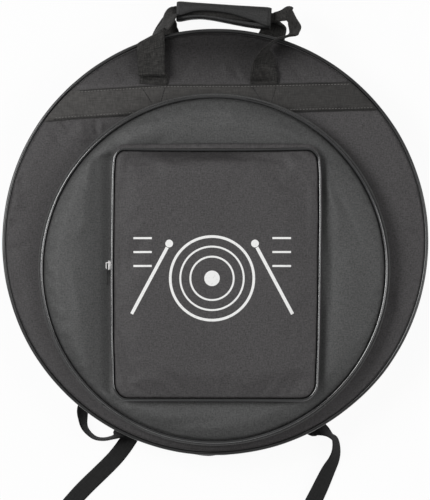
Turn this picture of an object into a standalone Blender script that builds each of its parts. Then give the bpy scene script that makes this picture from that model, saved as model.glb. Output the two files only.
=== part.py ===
"""Soft round case for cymbals, lying on its back: shell, pockets, zips, handles and shoulder straps.

Metres, +Z out of the front, +Y towards the carrying handle, origin in the middle of the back's outer face.
"""

import math

import bmesh
import bpy
from mathutils import Matrix, Vector

# Clearance between neighbouring pieces, and the distance at which a solid's doubled points are merged
GAP = 0.0003
MERGE = 0.000001

# Shell: two padded round panels, a sewn wall between them and glossy piping round both edges
SHELL_RADIUS = 0.274
SHELL_DEPTH = 0.050
PANEL_THICK = 0.008
WALL_THICK = 0.0025
RIM_PIPING = 0.0025
DIVIDER_THICK = 0.002
DIVIDER_MARGIN = 0.009
ROUND_STEPS = 60
PIPING_SIDES = 1

# Zips: a tape on each side of the split and a coil of nested curls on the tape's outer face
TAPE_THICK = 0.0012
TAPE_WIDTH = 0.0064
POCKET_TAPE_WIDTH = 0.0022
TAPE_SPLIT = 0.0006
COIL_WIRE = 0.0005
COIL_SWING = 0.0017
COIL_SPACING = 0.0015
COIL_CURLS = 112
COIL_END_MARGIN = 0.004
ZIP_RECESS = 0.0019
HINGE_GUSSET_ANGLE = math.radians(15)
ZIP_PARK_ANGLE = math.radians(122)

# Zip slider and puller, sized on the zip's own directions: along it, across it and out from the tape
SLIDER_LENGTH = 0.012
SLIDER_NOSE = 0.0112
SLIDER_TAIL = 0.0100
FLANGE_THICK = 0.001
SLIDER_SHELF = 0.0018
SLIDER_PLATE = 0.0014
BRIDGE_HEIGHT = 0.0024
BRIDGE_LENGTH = 0.0060
BRIDGE_WIDTH = 0.0026
BRIDGE_THICK = 0.0012
PULLER_LENGTH = 0.0255
PULLER_WIDTH = 0.0072
PULLER_THICK = 0.0012
PULLER_EYE_LENGTH = 0.0068
PULLER_EYE_WIDTH = 0.0036
PULLER_BAR = 0.0014
SMALL_PULLER_THICK = 0.0014

# Round pocket: a chord near its foot parts the fixed piece from the flap
ROUND_POCKET_MARGIN = 0.0519
ROUND_POCKET_DROP = 0.0366
ROUND_POCKET_DEPTH = 0.0206
POCKET_BASE_WALL = 0.0066
POCKET_PANEL = 0.0028
POCKET_CROWN = 0.0014
POCKET_SHOULDER = 0.008
POCKET_PIPING = 0.0022
ROUND_CHORD_RISE = 0.0457

# Square pocket on the round one: its half width and half height are shares of the round one's radius
SMALL_WIDTH_SHARE = 0.5916
SMALL_HEIGHT_SHARE = 0.7213
SMALL_CORNER = 0.016
SMALL_SHIFT = 0.0023
SMALL_OFFSET = 0.0069
SMALL_DEPTH = 0.0156
SMALL_BASE_WALL = 0.0050
SMALL_PANEL = 0.0020
SMALL_CROWN = 0.0038
SMALL_SHOULDER = 0.022
SMALL_PIPING = 0.0020
SMALL_CHORD_RISE = 0.0035
SMALL_CORNER_STEPS = 5
SMALL_SLIDER_RISE = 0.0080

# Sewn bands across both panels and the carrying handles that leave them
BAND_DROP = 0.068
BAND_WIDTH = 0.038
BAND_THICK = 0.002
BAND_END_STEPS = 4
BAND_ARCH_STEPS = 12
HANDLE_WEB_WIDTH = 0.0366
WEB_THICK = 0.002
HANDLE_SPAN = 0.1454
HANDLE_SHIFT = 0.0077
HAND_GAP = 0.0087

# Padded wrap round both handles and the flap that closes it
WRAP_LENGTH = 0.120
WRAP_WIDTH = 0.024
WRAP_HEIGHT = 0.020
WRAP_WALL = 0.003
WRAP_LIP = 0.0057
WRAP_SHIFT = 0.012
WRAP_TILT = math.radians(-4.1)
WRAP_WEB_SPACING = 0.0066
FLAP_REACH = 0.0190
FLAP_THICK = 0.003

# Shoulder straps on the back
YOKE_HEIGHT = 0.016
YOKE_THICK = 0.004
YOKE_WIDTH = 0.190
STRAP_WIDTH = 0.060
STRAP_THICK = 0.0083
STRAP_OVERRUN = 0.0086
STRAP_TOP_SPACING = 0.062
STRAP_SWAY = 0.048
STRAP_WEB_WIDTH = 0.022
STRAP_WEB_THICK = 0.0016
BUCKLE_WIDTH = 0.032
BUCKLE_LENGTH = 0.027
BUCKLE_THICK = 0.003
BUCKLE_BAR = 0.0035
BUCKLE_SIDE = 0.0035
ANCHOR_LENGTH = 0.040
ANCHOR_WIDTH = 0.030
ANCHOR_THICK = 0.002
ANCHOR_INSET = 0.0221
ANCHOR_ANGLE = math.radians(40.33)
TAIL_REACH = 0.165
LOOP_REACH = 0.066

# Handle routes from left to right. Each place has its share of the span, of the reach from the sewn band to
# the grip and of the way between the two levels, then the width, the layers and the way that the width points
FRONT_HANDLE_SHARES = (
    ((-0.500, 0.000, 0.00), 1.00, 1.0, (0, 0)),
    ((-0.500, 0.035, 0.00), 1.00, 1.0, (0, 0)),
    ((-0.503, 0.070, -0.08), 1.00, 1.0, (0, 0)),
    ((-0.508, 0.115, -0.31), 1.00, 1.0, (0, 0)),
    ((-0.514, 0.190, -0.44), 1.00, 1.0, (0, 0)),
    ((-0.520, 0.320, -0.27), 1.00, 1.0, (0, 0)),
    ((-0.520, 0.490, -0.14), 1.00, 1.0, (6, 0)),
    ((-0.518, 0.665, -0.10), 1.00, 1.0, (20, 0)),
    ((-0.455, 0.840, 0.23), 0.82, 1.0, (-8, 10)),
    ((-0.385, 0.960, 0.62), 0.58, 1.4, (-50, 15)),
    ((-0.292, 1.046, 1.00), 0.34, 2.0, (-94, 0)),
    ((0.135, 1.000, 1.00), 0.34, 2.0, (-94, 0)),
    ((0.560, 0.958, 1.00), 0.34, 2.0, (-94, 0)),
    ((0.680, 0.970, 0.70), 0.52, 1.6, (-108, -15)),
    ((0.748, 0.840, 0.32), 0.70, 1.0, (-160, -35)),
    ((0.735, 0.690, -0.10), 0.78, 1.0, (-180, -60)),
    ((0.680, 0.640, -0.55), 0.85, 1.0, (45, -85)),
    ((0.605, 0.590, -0.72), 0.95, 1.0, (45, -75)),
    ((0.520, 0.460, -0.74), 1.00, 1.0, (30, -66)),
    ((0.498, 0.300, -0.52), 1.00, 1.0, (6, -38)),
    ((0.498, 0.130, -0.30), 1.00, 1.0, (0, -20)),
    ((0.500, 0.035, 0.00), 1.00, 1.0, (0, 0)),
    ((0.500, 0.000, 0.00), 1.00, 1.0, (0, 0)),
)
REAR_HANDLE_SHARES = (
    ((-0.500, 0.000, 0.00), 1.00, 1.0, (0, 0)),
    ((-0.500, 0.050, 0.00), 1.00, 1.0, (0, 0)),
    ((-0.500, 0.350, -0.02), 1.00, 1.0, (0, 0)),
    ((-0.480, 0.680, -0.04), 1.00, 1.0, (10, 0)),
    ((-0.440, 0.850, 0.20), 0.80, 1.0, (10, 0)),
    ((-0.385, 0.960, 0.60), 0.58, 1.4, (-50, 0)),
    ((-0.292, 1.046, 1.00), 0.34, 2.0, (-94, 0)),
    ((0.135, 1.000, 1.00), 0.34, 2.0, (-94, 0)),
    ((0.560, 0.958, 1.00), 0.34, 2.0, (-94, 0)),
    ((0.620, 0.920, 0.62), 0.58, 1.4, (-50, 0)),
    ((0.600, 0.850, 0.22), 0.80, 1.0, (-10, 0)),
    ((0.550, 0.680, -0.04), 1.00, 1.0, (-10, 0)),
    ((0.505, 0.350, -0.02), 1.00, 1.0, (0, 0)),
    ((0.500, 0.050, 0.00), 1.00, 1.0, (0, 0)),
    ((0.500, 0.000, 0.00), 1.00, 1.0, (0, 0)),
)

# Padded strap from the top patch down: shares of its run, width and thickness, and each side's sway
STRAP_SHARES = (
    (0.000, 0.50, 0.24),
    (0.015, 0.50, 0.24),
    (0.050, 0.85, 0.80),
    (0.100, 1.00, 1.00),
    (0.300, 1.00, 1.00),
    (0.500, 1.00, 1.00),
    (0.700, 1.00, 1.00),
    (0.850, 1.00, 1.00),
    (0.930, 0.75, 0.80),
    (1.000, 0.42, 0.36),
)
STRAP_SWAY_SHARES = {
    "left": (0.00, 0.00, 0.02, 0.06, 0.26, 0.42, 0.34, 0.12, 0.16, 0.42),
    "right": (0.00, 0.00, 0.02, 0.06, 0.24, 0.36, 0.24, 0.00, -0.02, 0.34),
}

# Free webbing: shares of its reach sideways and downwards, its lift and the way of its width. A tail starts in
# its buckle and lies on the floor, and a loop starts under its anchor tab and ends on its buckle
TAIL_SHARES = {
    "left": (
        ((0.000, 0.000), 0.00, (-27, 0)),
        ((-0.008, 0.016), 0.83, (-27, 0)),
        ((-0.033, 0.065), 1.00, (-29, 0)),
        ((-0.077, 0.132), 1.00, (-30, 0)),
        ((-0.121, 0.212), 1.00, (-33, 0)),
        ((-0.266, 0.418), 1.00, (-41, -10)),
        ((-0.557, 0.709), 1.00, (-41, 0)),
        ((-0.800, 1.000), 1.00, (-41, 0)),
    ),
    "right": (
        ((0.000, 0.000), 0.00, (35, 0)),
        ((0.011, 0.015), 0.83, (35, 0)),
        ((0.042, 0.060), 1.00, (42, 0)),
        ((0.125, 0.124), 1.00, (60, 0)),
        ((0.235, 0.180), 1.00, (71, 0)),
        ((0.275, 0.190), 1.00, (70, -20)),
        ((0.315, 0.200), 1.00, (67, -42)),
        ((0.378, 0.239), 1.00, (52, -72)),
        ((0.420, 0.278), 1.00, (23, -68)),
        ((0.428, 0.358), 1.00, (-3, -60)),
        ((0.410, 0.433), 1.00, (-21, -50)),
        ((0.361, 0.530), 1.00, (-26, -34)),
        ((0.266, 0.733), 1.00, (-25, 0)),
        ((0.125, 1.000), 1.00, (-28, 0)),
    ),
}
LOOP_SHARES = {
    "left": (
        ((0.000, -0.150), 0.000, (-10, 0)),
        ((-0.050, 0.180), 0.000, (0, 0)),
        ((-0.133, 0.410), -0.033, (7, -22)),
        ((-0.120, 0.600), 0.010, (12, -44)),
        ((-0.080, 0.800), 0.045, (22, -66)),
        ((0.053, 0.947), 0.055, (57, -74)),
        ((0.193, 0.995), 0.055, (90, -74)),
        ((0.368, 0.955), 0.050, (107, -68)),
        ((0.440, 0.925), 0.010, (109, -44)),
        ((0.520, 0.880), -0.033, (111, -22)),
        ((0.680, 0.818), -0.015, (117, -10)),
        ((0.827, 0.697), 0.000, (139, 0)),
        ((0.915, 0.508), 0.000, (152, 0)),
        ((1.000, 0.333), 0.000, (153, 0)),
    ),
    "right": (
        ((0.000, -0.150), 0.000, (12, 0)),
        ((-0.039, 0.212), 0.000, (-10, 0)),
        ((0.065, 0.380), 0.000, (-45, 0)),
        ((0.260, 0.470), 0.000, (-64, 0)),
        ((0.494, 0.540), 0.000, (-80, 0)),
        ((0.700, 0.560), 0.000, (-100, 0)),
        ((0.857, 0.480), 0.000, (-128, 0)),
        ((1.000, 0.333), 0.000, (-142, 0)),
    ),
}

# Colours and finishes
CLOTH = ((0.070, 0.067, 0.068), 0.85, 0.0)
POCKET_CLOTH = ((0.088, 0.087, 0.087), 0.85, 0.0)
WEBBING = ((0.045, 0.043, 0.042), 0.80, 0.0)
PADDING = ((0.028, 0.028, 0.028), 0.75, 0.0)
PIPING = ((0.030, 0.030, 0.031), 0.30, 0.0)
COIL = ((0.020, 0.020, 0.021), 0.45, 0.0)
STEEL = ((0.620, 0.610, 0.600), 0.25, 1.0)
PLASTIC = ((0.018, 0.018, 0.018), 0.40, 0.0)

# Levels and places worked out from the sizes above
ZIP_LEVEL = SHELL_DEPTH / 2
TAPE_FACE = SHELL_RADIUS - ZIP_RECESS
FRONT = SHELL_DEPTH
BAND_TOP = SHELL_RADIUS - BAND_DROP
BAND_FOOT = BAND_TOP - BAND_WIDTH
HANDLE_START = BAND_TOP + GAP
GRIP_Y = SHELL_RADIUS + GAP + 2 * RIM_PIPING + HAND_GAP + WRAP_WIDTH / 2
HANDLE_REACH = GRIP_Y - HANDLE_START
FRONT_WEB_LEVEL = FRONT + 2 * GAP + WEB_THICK / 2
REAR_WEB_LEVEL = -2 * GAP - WEB_THICK / 2
WRAP_LOW = SHELL_DEPTH / 2 - WRAP_HEIGHT / 2 - GAP
WEB_LOW_LEVEL = WRAP_LOW + WRAP_WALL + WEB_THICK + GAP
WEB_HIGH_LEVEL = WEB_LOW_LEVEL + WRAP_WEB_SPACING
POCKET_FLOOR = FRONT + GAP
ROUND_POCKET_RADIUS = SHELL_RADIUS - ROUND_POCKET_MARGIN
ROUND_TOP = POCKET_FLOOR + ROUND_POCKET_DEPTH
ROUND_FACE = ROUND_TOP + POCKET_PANEL + POCKET_CROWN
ROUND_CHORD = -ROUND_POCKET_DROP - ROUND_POCKET_RADIUS + ROUND_CHORD_RISE
SMALL_HALF_WIDTH = ROUND_POCKET_RADIUS * SMALL_WIDTH_SHARE
SMALL_HALF_HEIGHT = ROUND_POCKET_RADIUS * SMALL_HEIGHT_SHARE
SMALL_DROP = ROUND_POCKET_DROP + SMALL_OFFSET
SMALL_FLOOR = ROUND_FACE + GAP
SMALL_TOP = SMALL_FLOOR + SMALL_DEPTH
SMALL_FACE = SMALL_TOP + SMALL_PANEL + SMALL_CROWN
SMALL_CHORD = -SMALL_DROP + SMALL_CHORD_RISE
SLIDER_FACE = SLIDER_SHELF + SLIDER_PLATE
STRAP_TOP = BAND_FOOT - GAP - YOKE_HEIGHT - GAP
ANCHOR_RADIUS = SHELL_RADIUS - ANCHOR_INSET
ANCHOR_SPACING = ANCHOR_RADIUS * math.sin(ANCHOR_ANGLE)
ANCHOR_DROP = ANCHOR_RADIUS * math.cos(ANCHOR_ANGLE)
STRAP_RUN = STRAP_TOP + ANCHOR_DROP + STRAP_OVERRUN
STRAP_CEILING = -BAND_THICK - 2 * GAP
STRAP_FLOOR = STRAP_CEILING - STRAP_THICK
BUCKLE_TOP = STRAP_CEILING - STRAP_WEB_THICK - GAP


def clear_scene():
    for item in list(bpy.data.objects):
        bpy.data.objects.remove(item, do_unlink=True)


def make_collection(name):
    collection = bpy.data.collections.new(name)
    bpy.context.scene.collection.children.link(collection)
    return collection


clear_scene()
PARTS = make_collection("cymbal_bag")
CUTTERS = make_collection("cutters")


def make_material(name, look):
    colour, roughness, metallic = look
    material = bpy.data.materials.new(name)
    material.use_nodes = True
    shader = material.node_tree.nodes["Principled BSDF"]
    shader.inputs["Base Color"].default_value = (*colour, 1)
    shader.inputs["Roughness"].default_value = roughness
    shader.inputs["Metallic"].default_value = metallic
    return material


def add_piece(name, mesh, look, pivot=None):
    """One named piece with its own material, carried by the empty on its joint's axis."""
    mesh.name = name
    piece = bpy.data.objects.new(name, mesh)
    piece.data.materials.clear()
    piece.data.materials.append(make_material(name, look))
    PARTS.objects.link(piece)
    if pivot:
        ride_on(piece, pivot)
    return piece


def ride_on(item, pivot):
    item.parent = pivot
    item.matrix_parent_inverse = Matrix.Translation(-Vector(pivot["place"]))


def add_pivot(name, place, parent=None):
    """An empty on a joint's axis."""
    pivot = bpy.data.objects.new(name, None)
    pivot.empty_display_size = PANEL_THICK
    pivot["place"] = place
    PARTS.objects.link(pivot)
    pivot.location = place
    if parent:
        ride_on(pivot, parent)
    return pivot


def add_cutter(name, mesh):
    cutter = bpy.data.objects.new(name, mesh)
    cutter.hide_render = True
    cutter.display_type = "WIRE"
    CUTTERS.objects.link(cutter)
    return cutter


def add_boolean(piece, cutter, operation):
    modifier = piece.modifiers.new(cutter.name, "BOOLEAN")
    modifier.operation = operation
    modifier.solver = "EXACT"
    modifier.object = cutter


def tidy_mesh(mesh):
    solid = bmesh.new()
    solid.from_mesh(mesh)
    bmesh.ops.remove_doubles(solid, verts=solid.verts, dist=MERGE)
    bmesh.ops.recalc_face_normals(solid, faces=solid.faces)
    solid.to_mesh(mesh)
    solid.free()
    return mesh


def curve_mesh(curve):
    holder = bpy.data.objects.new(curve.name, curve)
    bpy.context.scene.collection.objects.link(holder)
    depsgraph = bpy.context.evaluated_depsgraph_get()
    mesh = bpy.data.meshes.new_from_object(holder.evaluated_get(depsgraph))
    bpy.data.objects.remove(holder, do_unlink=True)
    return tidy_mesh(mesh)


def plate(loops, low, high):
    """A flat outline, with any holes, between two levels."""
    curve = bpy.data.curves.new("outline", "CURVE")
    curve.dimensions = "2D"
    curve.fill_mode = "BOTH"
    curve.extrude = (high - low) / 2
    for loop in loops:
        spline = curve.splines.new("POLY")
        spline.points.add(len(loop) - 1)
        for point, (x, y) in zip(spline.points, loop):
            point.co = (x, y, 0, 1)
        spline.use_cyclic_u = True
    mesh = curve_mesh(curve)
    mesh.transform(Matrix.Translation((0, 0, (low + high) / 2)))
    return mesh


def tube(points, radius, cyclic, resolution):
    """A round section along straight stretches between points."""
    curve = bpy.data.curves.new("route", "CURVE")
    curve.dimensions = "3D"
    curve.bevel_depth = radius
    curve.bevel_resolution = resolution
    curve.render_resolution_u = 0
    curve.use_fill_caps = True
    spline = curve.splines.new("POLY")
    spline.points.add(len(points) - 1)
    for point, place in zip(spline.points, points):
        point.co = (*place, 1)
    spline.use_cyclic_u = cyclic
    return curve_mesh(curve)


def block(size, centre):
    solid = bmesh.new()
    bmesh.ops.create_cube(solid, size=1)
    bmesh.ops.scale(solid, vec=size, verts=solid.verts)
    bmesh.ops.translate(solid, vec=centre, verts=solid.verts)
    mesh = bpy.data.meshes.new("block")
    solid.to_mesh(mesh)
    solid.free()
    return mesh


def loft(rings):
    """A closed solid through rings of equal point count, with flat ends."""
    solid = bmesh.new()
    rows = [[solid.verts.new(point) for point in ring] for ring in rings]
    for near, far in zip(rows, rows[1:]):
        for k in range(len(near)):
            after = (k + 1) % len(near)
            solid.faces.new((near[k], near[after], far[after], far[k]))
    solid.faces.new(rows[0])
    solid.faces.new(rows[-1])
    bmesh.ops.triangulate(solid, faces=solid.faces, quad_method="FIXED")
    bmesh.ops.recalc_face_normals(solid, faces=solid.faces)
    mesh = bpy.data.meshes.new("loft")
    solid.to_mesh(mesh)
    solid.free()
    return mesh


def circle(centre, radius, steps=ROUND_STEPS):
    turns = [2 * math.pi * k / steps for k in range(steps)]
    return [(centre[0] + radius * math.cos(t), centre[1] + radius * math.sin(t)) for t in turns]


def arc(centre, radius, start, end, steps):
    turns = [start + (end - start) * k / steps for k in range(steps + 1)]
    return [(centre[0] + radius * math.cos(t), centre[1] + radius * math.sin(t)) for t in turns]


def ring(centre, inner, outer, low, high):
    return plate((circle(centre, outer), circle(centre, inner)), low, high)


def arc_band(centre, inner, outer, low, high, start, end):
    steps = max(2, round(ROUND_STEPS * abs(end - start) / (2 * math.pi)))
    loop = arc(centre, outer, start, end, steps) + arc(centre, inner, end, start, steps)
    return plate((loop,), low, high)


def crossing(first, second, chord):
    share = (chord - first[1]) / (second[1] - first[1])
    return (first[0] + share * (second[0] - first[0]), chord)


def arch(outline, chord, side):
    """The stretch of a closed convex outline on one side of the line y = chord, with its ends on that line."""
    count = len(outline)
    kept = [side * (y - chord) > 0 for x, y in outline]
    start = next(k for k in range(count) if kept[k] and not kept[k - 1])
    stretch = [crossing(outline[start - 1], outline[start], chord)]
    k = start
    while kept[k % count]:
        stretch.append(outline[k % count])
        k += 1
    stretch.append(crossing(outline[(k - 1) % count], outline[k % count], chord))
    return stretch


def arch_band(outline, inner, outer, low, high, chord, side):
    """A wall that follows an outline on one side of a chord, between two offsets and two levels."""
    loop = arch(outline(outer), chord, side) + arch(outline(inner), chord, side)[::-1]
    return plate((loop,), low, high)


def at_level(points, level):
    return [(x, y, level) for x, y in points]


def round_outline(offset):
    return circle((0, -ROUND_POCKET_DROP), ROUND_POCKET_RADIUS + offset)


def small_outline(offset):
    half_width = SMALL_HALF_WIDTH + offset
    half_height = SMALL_HALF_HEIGHT + offset
    corner = max(SMALL_CORNER + offset, GAP)
    points = []
    for quarter, (side, rise) in enumerate(((1, 1), (-1, 1), (-1, -1), (1, -1))):
        middle = (SMALL_SHIFT + side * (half_width - corner), -SMALL_DROP + rise * (half_height - corner))
        start = quarter * math.pi / 2
        points += arc(middle, corner, start, start + math.pi / 2, SMALL_CORNER_STEPS)
    return points


def crowned_panel(outline, low, thick, crown, shoulder):
    """A padded panel whose face rises from its edge over a shoulder."""
    rise_shares = ((0, 0), (0.35, 0.6), (1, 1))
    rings = [at_level(outline(0), low)]
    rings += [at_level(outline(-shoulder * reach), low + thick + crown * rise) for reach, rise in rise_shares]
    return loft(rings)


def keep_side(piece, chord, side, reach):
    """Cuts a panel off at a chord."""
    size = (4 * reach, 4 * reach, 4 * reach)
    cutter = add_cutter(piece.name + "_cutter", block(size, (0, chord - side * 2 * reach, 0)))
    add_boolean(piece, cutter, "DIFFERENCE")


def build_shell(lid):
    """Both panels, their walls and their piping."""
    middle = (0, 0)
    wall_in = SHELL_RADIUS - WALL_THICK
    tape_low = ZIP_LEVEL - TAPE_SPLIT / 2 - TAPE_WIDTH
    tape_high = ZIP_LEVEL + TAPE_SPLIT / 2 + TAPE_WIDTH
    front_low = FRONT - PANEL_THICK
    piping_ring = circle(middle, SHELL_RADIUS + GAP + RIM_PIPING)
    back = at_level(piping_ring, PANEL_THICK / 2)
    front = at_level(piping_ring, FRONT - PANEL_THICK / 2)
    add_piece("back_panel", plate((circle(middle, SHELL_RADIUS),), 0, PANEL_THICK), CLOTH)
    add_piece("back_gusset", ring(middle, wall_in, SHELL_RADIUS, PANEL_THICK + GAP, tape_low - GAP), CLOTH)
    add_piece("back_piping", tube(back, RIM_PIPING, True, PIPING_SIDES), PIPING)
    add_piece("front_panel", plate((circle(middle, SHELL_RADIUS),), front_low, FRONT), CLOTH, lid)
    add_piece("front_gusset", ring(middle, wall_in, SHELL_RADIUS, tape_high + GAP, front_low - GAP), CLOTH, lid)
    add_piece("front_piping", tube(front, RIM_PIPING, True, PIPING_SIDES), PIPING, lid)


def build_dividers():
    radius = SHELL_RADIUS - WALL_THICK - DIVIDER_MARGIN
    level = PANEL_THICK + GAP
    for name in ("divider_low", "divider_high"):
        add_piece(name, plate((circle((0, 0), radius),), level, level + DIVIDER_THICK), CLOTH)
        level += DIVIDER_THICK + GAP


def coil_route(radius, level, start, end):
    """A line that swings up and down as it follows the zip round."""
    places = []
    for k in range(2 * COIL_CURLS + 1):
        turn = start + (end - start) * k / (2 * COIL_CURLS)
        swing = COIL_SWING * (1 if k % 2 else -1)
        places.append((radius * math.cos(turn), radius * math.sin(turn), level + swing))
    return places


def build_main_zip(lid):
    """The zip round the rim and the cloth hinge where it ends at the foot."""
    foot = 3 * math.pi / 2
    margin = GAP / SHELL_RADIUS
    zip_start = foot + HINGE_GUSSET_ANGLE + margin
    zip_end = foot + 2 * math.pi - HINGE_GUSSET_ANGLE - margin
    coil_margin = COIL_END_MARGIN / SHELL_RADIUS
    inner = TAPE_FACE - TAPE_THICK
    coil_radius = TAPE_FACE + GAP + COIL_WIRE
    sides = (("back", -1, None, "hinge_gusset_lower"), ("front", 1, lid, "hinge_gusset_upper"))
    for name, side, pivot, gusset in sides:
        near = ZIP_LEVEL + side * TAPE_SPLIT / 2
        far = near + side * TAPE_WIDTH
        low, high = sorted((near, far))
        tape = arc_band((0, 0), inner, TAPE_FACE, low, high, zip_start, zip_end)
        add_piece("main_tape_" + name, tape, WEBBING, pivot)
        level = ZIP_LEVEL + side * COIL_SPACING / 2
        route = coil_route(coil_radius, level, zip_start + coil_margin, zip_end - coil_margin)
        add_piece("main_coil_" + name, tube(route, COIL_WIRE, False, 0), COIL, pivot)
        start = foot - HINGE_GUSSET_ANGLE
        end = foot + HINGE_GUSSET_ANGLE
        low, high = sorted((ZIP_LEVEL + side * GAP / 2, far))
        cloth = arc_band((0, 0), SHELL_RADIUS - WALL_THICK, SHELL_RADIUS, low, high, start, end)
        add_piece(gusset, cloth, CLOTH, pivot)


def zip_frame(place, outward):
    """Carries a slider's own directions, along, out and across, to its place on a zip."""
    out = Vector(outward).normalized()
    along = Vector((-out.y, out.x, 0))
    across = along.cross(out)
    return Matrix.Translation(place) @ Matrix((along, out, across)).transposed().to_4x4()


def standing(loops, low, high, frame):
    """A plate drawn along and across a zip, lifted out from its tape."""
    mesh = plate(loops, low, high)
    mesh.transform(frame @ Matrix.Rotation(-math.pi / 2, 4, "X"))
    return mesh


def build_slider(name, frame, pivot):
    """A shield plate over the coils, a flange down each side and a bridge for the puller."""
    half = SLIDER_LENGTH / 2
    nose, tail = SLIDER_NOSE / 2, SLIDER_TAIL / 2
    shield = ((-half, -tail), (0, -tail), (half / 2, -nose), (half, -nose), (half, nose), (half / 2, nose))
    shield += ((0, tail), (-half, tail))
    slider = add_piece(name, standing((shield,), SLIDER_SHELF, SLIDER_FACE, frame), STEEL, pivot)
    flange_height = SLIDER_SHELF + SLIDER_PLATE / 2 - GAP
    flange_place = COIL_SPACING / 2 + COIL_SWING + 2 * COIL_WIRE + GAP + FLANGE_THICK / 2
    for side, tag in ((-1, "_low_flange"), (1, "_high_flange")):
        size = (SLIDER_LENGTH - 2 * FLANGE_THICK, flange_height, FLANGE_THICK)
        place = (0, GAP + flange_height / 2, side * flange_place)
        flange = block(size, place)
        flange.transform(frame)
        add_boolean(slider, add_cutter(name + tag, flange), "UNION")
    reach = BRIDGE_LENGTH / 2
    top = SLIDER_FACE + BRIDGE_HEIGHT
    foot = SLIDER_FACE - SLIDER_PLATE / 2
    outer = reach + BRIDGE_THICK
    crown = top + BRIDGE_THICK
    bevel = BRIDGE_THICK / 2
    bridge = [(-outer, foot), (-outer, crown - bevel), (-outer + bevel, crown), (outer - bevel, crown)]
    bridge += [(outer, crown - bevel), (outer, foot), (reach, foot), (reach, top), (-reach, top), (-reach, foot)]
    arch_mesh = plate((bridge,), -BRIDGE_WIDTH / 2, BRIDGE_WIDTH / 2)
    arch_mesh.transform(frame)
    add_boolean(slider, add_cutter(name + "_bridge", arch_mesh), "UNION")


def build_puller(name, frame, side, thick, pivot):
    """A tab whose bar lies under the bridge and whose eye lets the bridge's leg through."""
    half = PULLER_WIDTH / 2
    bar = PULLER_BAR / 2
    end = PULLER_LENGTH
    waist = half * 3 / 4
    eye = PULLER_EYE_WIDTH / 2
    near, far = bar, bar + PULLER_EYE_LENGTH
    outline = [(-bar, -half), (far, -half), (far + half, -waist), (end - bar, -waist), (end, -waist / 2)]
    outline += [(x, -z) for x, z in outline[::-1]]
    hole = [(near, -eye), (far, -eye), (far, eye), (near, eye)]
    loops = [[(side * x, z) for x, z in loop] for loop in (outline, hole)]
    middle = SLIDER_FACE + BRIDGE_HEIGHT / 2
    add_piece(name, standing(loops, middle - thick / 2, middle + thick / 2, frame), STEEL, pivot)


def puller_axis(frame):
    return frame @ Vector((0, SLIDER_FACE + BRIDGE_HEIGHT / 2, 0))


def build_main_sliders():
    """Two sliders that meet beside the handles, their pullers turned away from each other."""
    turn = (SLIDER_LENGTH / 2 + GAP) / TAPE_FACE
    for tag, side in (("a", 1), ("b", -1)):
        angle = ZIP_PARK_ANGLE + side * turn
        outward = (math.cos(angle), math.sin(angle), 0)
        frame = zip_frame((TAPE_FACE * outward[0], TAPE_FACE * outward[1], ZIP_LEVEL), outward)
        ring_axis = add_pivot("main_slider_%s_axis" % tag, (0, 0, ZIP_LEVEL))
        build_slider("main_slider_" + tag, frame, ring_axis)
        bar = add_pivot("main_puller_%s_axis" % tag, puller_axis(frame), ring_axis)
        build_puller("main_puller_" + tag, frame, side, PULLER_THICK, bar)


def build_pocket(label, outline, sizes, floor, chord, base, flap):
    """One pocket: a wall, a zip over the flap's stretch, then the fixed foot and the flap, each with its piping."""
    base_wall, depth, wall, panel, crown, shoulder, piping = sizes
    top = floor + depth
    zip_level = floor + base_wall + GAP + POCKET_TAPE_WIDTH + TAPE_SPLIT / 2
    tape_out = wall
    tape_in = tape_out - TAPE_THICK
    wall_in = wall - WALL_THICK / 2
    upper, lower = chord + GAP / 2, chord - GAP / 2
    reach = max(abs(x) + abs(y) for x, y in outline(0))
    whole = plate((outline(wall), outline(wall_in)), floor, floor + base_wall)
    add_piece(label + "_gusset", whole, POCKET_CLOTH, base)
    tape_low = zip_level - TAPE_SPLIT / 2 - POCKET_TAPE_WIDTH
    tape_high = zip_level + TAPE_SPLIT / 2 + POCKET_TAPE_WIDTH
    fixed_tape = arch_band(outline, tape_in, tape_out, tape_low, zip_level - TAPE_SPLIT / 2, upper, 1)
    add_piece(label + "_zip_lower", fixed_tape, WEBBING, base)
    flap_tape = arch_band(outline, tape_in, tape_out, zip_level + TAPE_SPLIT / 2, tape_high, upper, 1)
    add_piece(label + "_zip_upper", flap_tape, WEBBING, flap)
    foot_wall = arch_band(outline, wall_in, wall, tape_low, top - GAP, lower, -1)
    add_piece(label + "_lower_gusset", foot_wall, POCKET_CLOTH, base)
    flap_wall = arch_band(outline, wall_in, wall, tape_high + GAP, top - GAP, upper, 1)
    add_piece(label + "_flap_gusset", flap_wall, POCKET_CLOTH, flap)
    for tag, pivot, line, side in (("lower", base, lower, -1), ("flap", flap, upper, 1)):
        face = crowned_panel(outline, top, panel, crown, shoulder)
        cover = add_piece("%s_%s_panel" % (label, tag), face, POCKET_CLOTH, pivot)
        keep_side(cover, line, side, reach)
        edge = at_level(arch(outline(GAP + piping), line, side), top + piping + GAP)
        add_piece("%s_%s_piping" % (label, tag), tube(edge, piping, False, PIPING_SIDES), PIPING, pivot)
    return zip_level


def build_pockets(lid):
    """The round pocket on the lid and the square pocket on the round pocket's flap."""
    round_flap = add_pivot("round_flap_axis", (0, ROUND_CHORD, ROUND_FACE), lid)
    small_flap = add_pivot("small_flap_axis", (SMALL_SHIFT, SMALL_CHORD, SMALL_FACE), round_flap)
    sizes = (POCKET_BASE_WALL, ROUND_POCKET_DEPTH, 0, POCKET_PANEL, POCKET_CROWN, POCKET_SHOULDER, POCKET_PIPING)
    level = build_pocket("round", round_outline, sizes, POCKET_FLOOR, ROUND_CHORD, lid, round_flap)
    build_round_slider(level, lid)
    wall = 2 * SMALL_PIPING
    sizes = (SMALL_BASE_WALL, SMALL_DEPTH, wall, SMALL_PANEL, SMALL_CROWN, SMALL_SHOULDER, SMALL_PIPING)
    level = build_pocket("small", small_outline, sizes, SMALL_FLOOR, SMALL_CHORD, round_flap, small_flap)
    build_small_slider(level, wall, round_flap)


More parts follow.
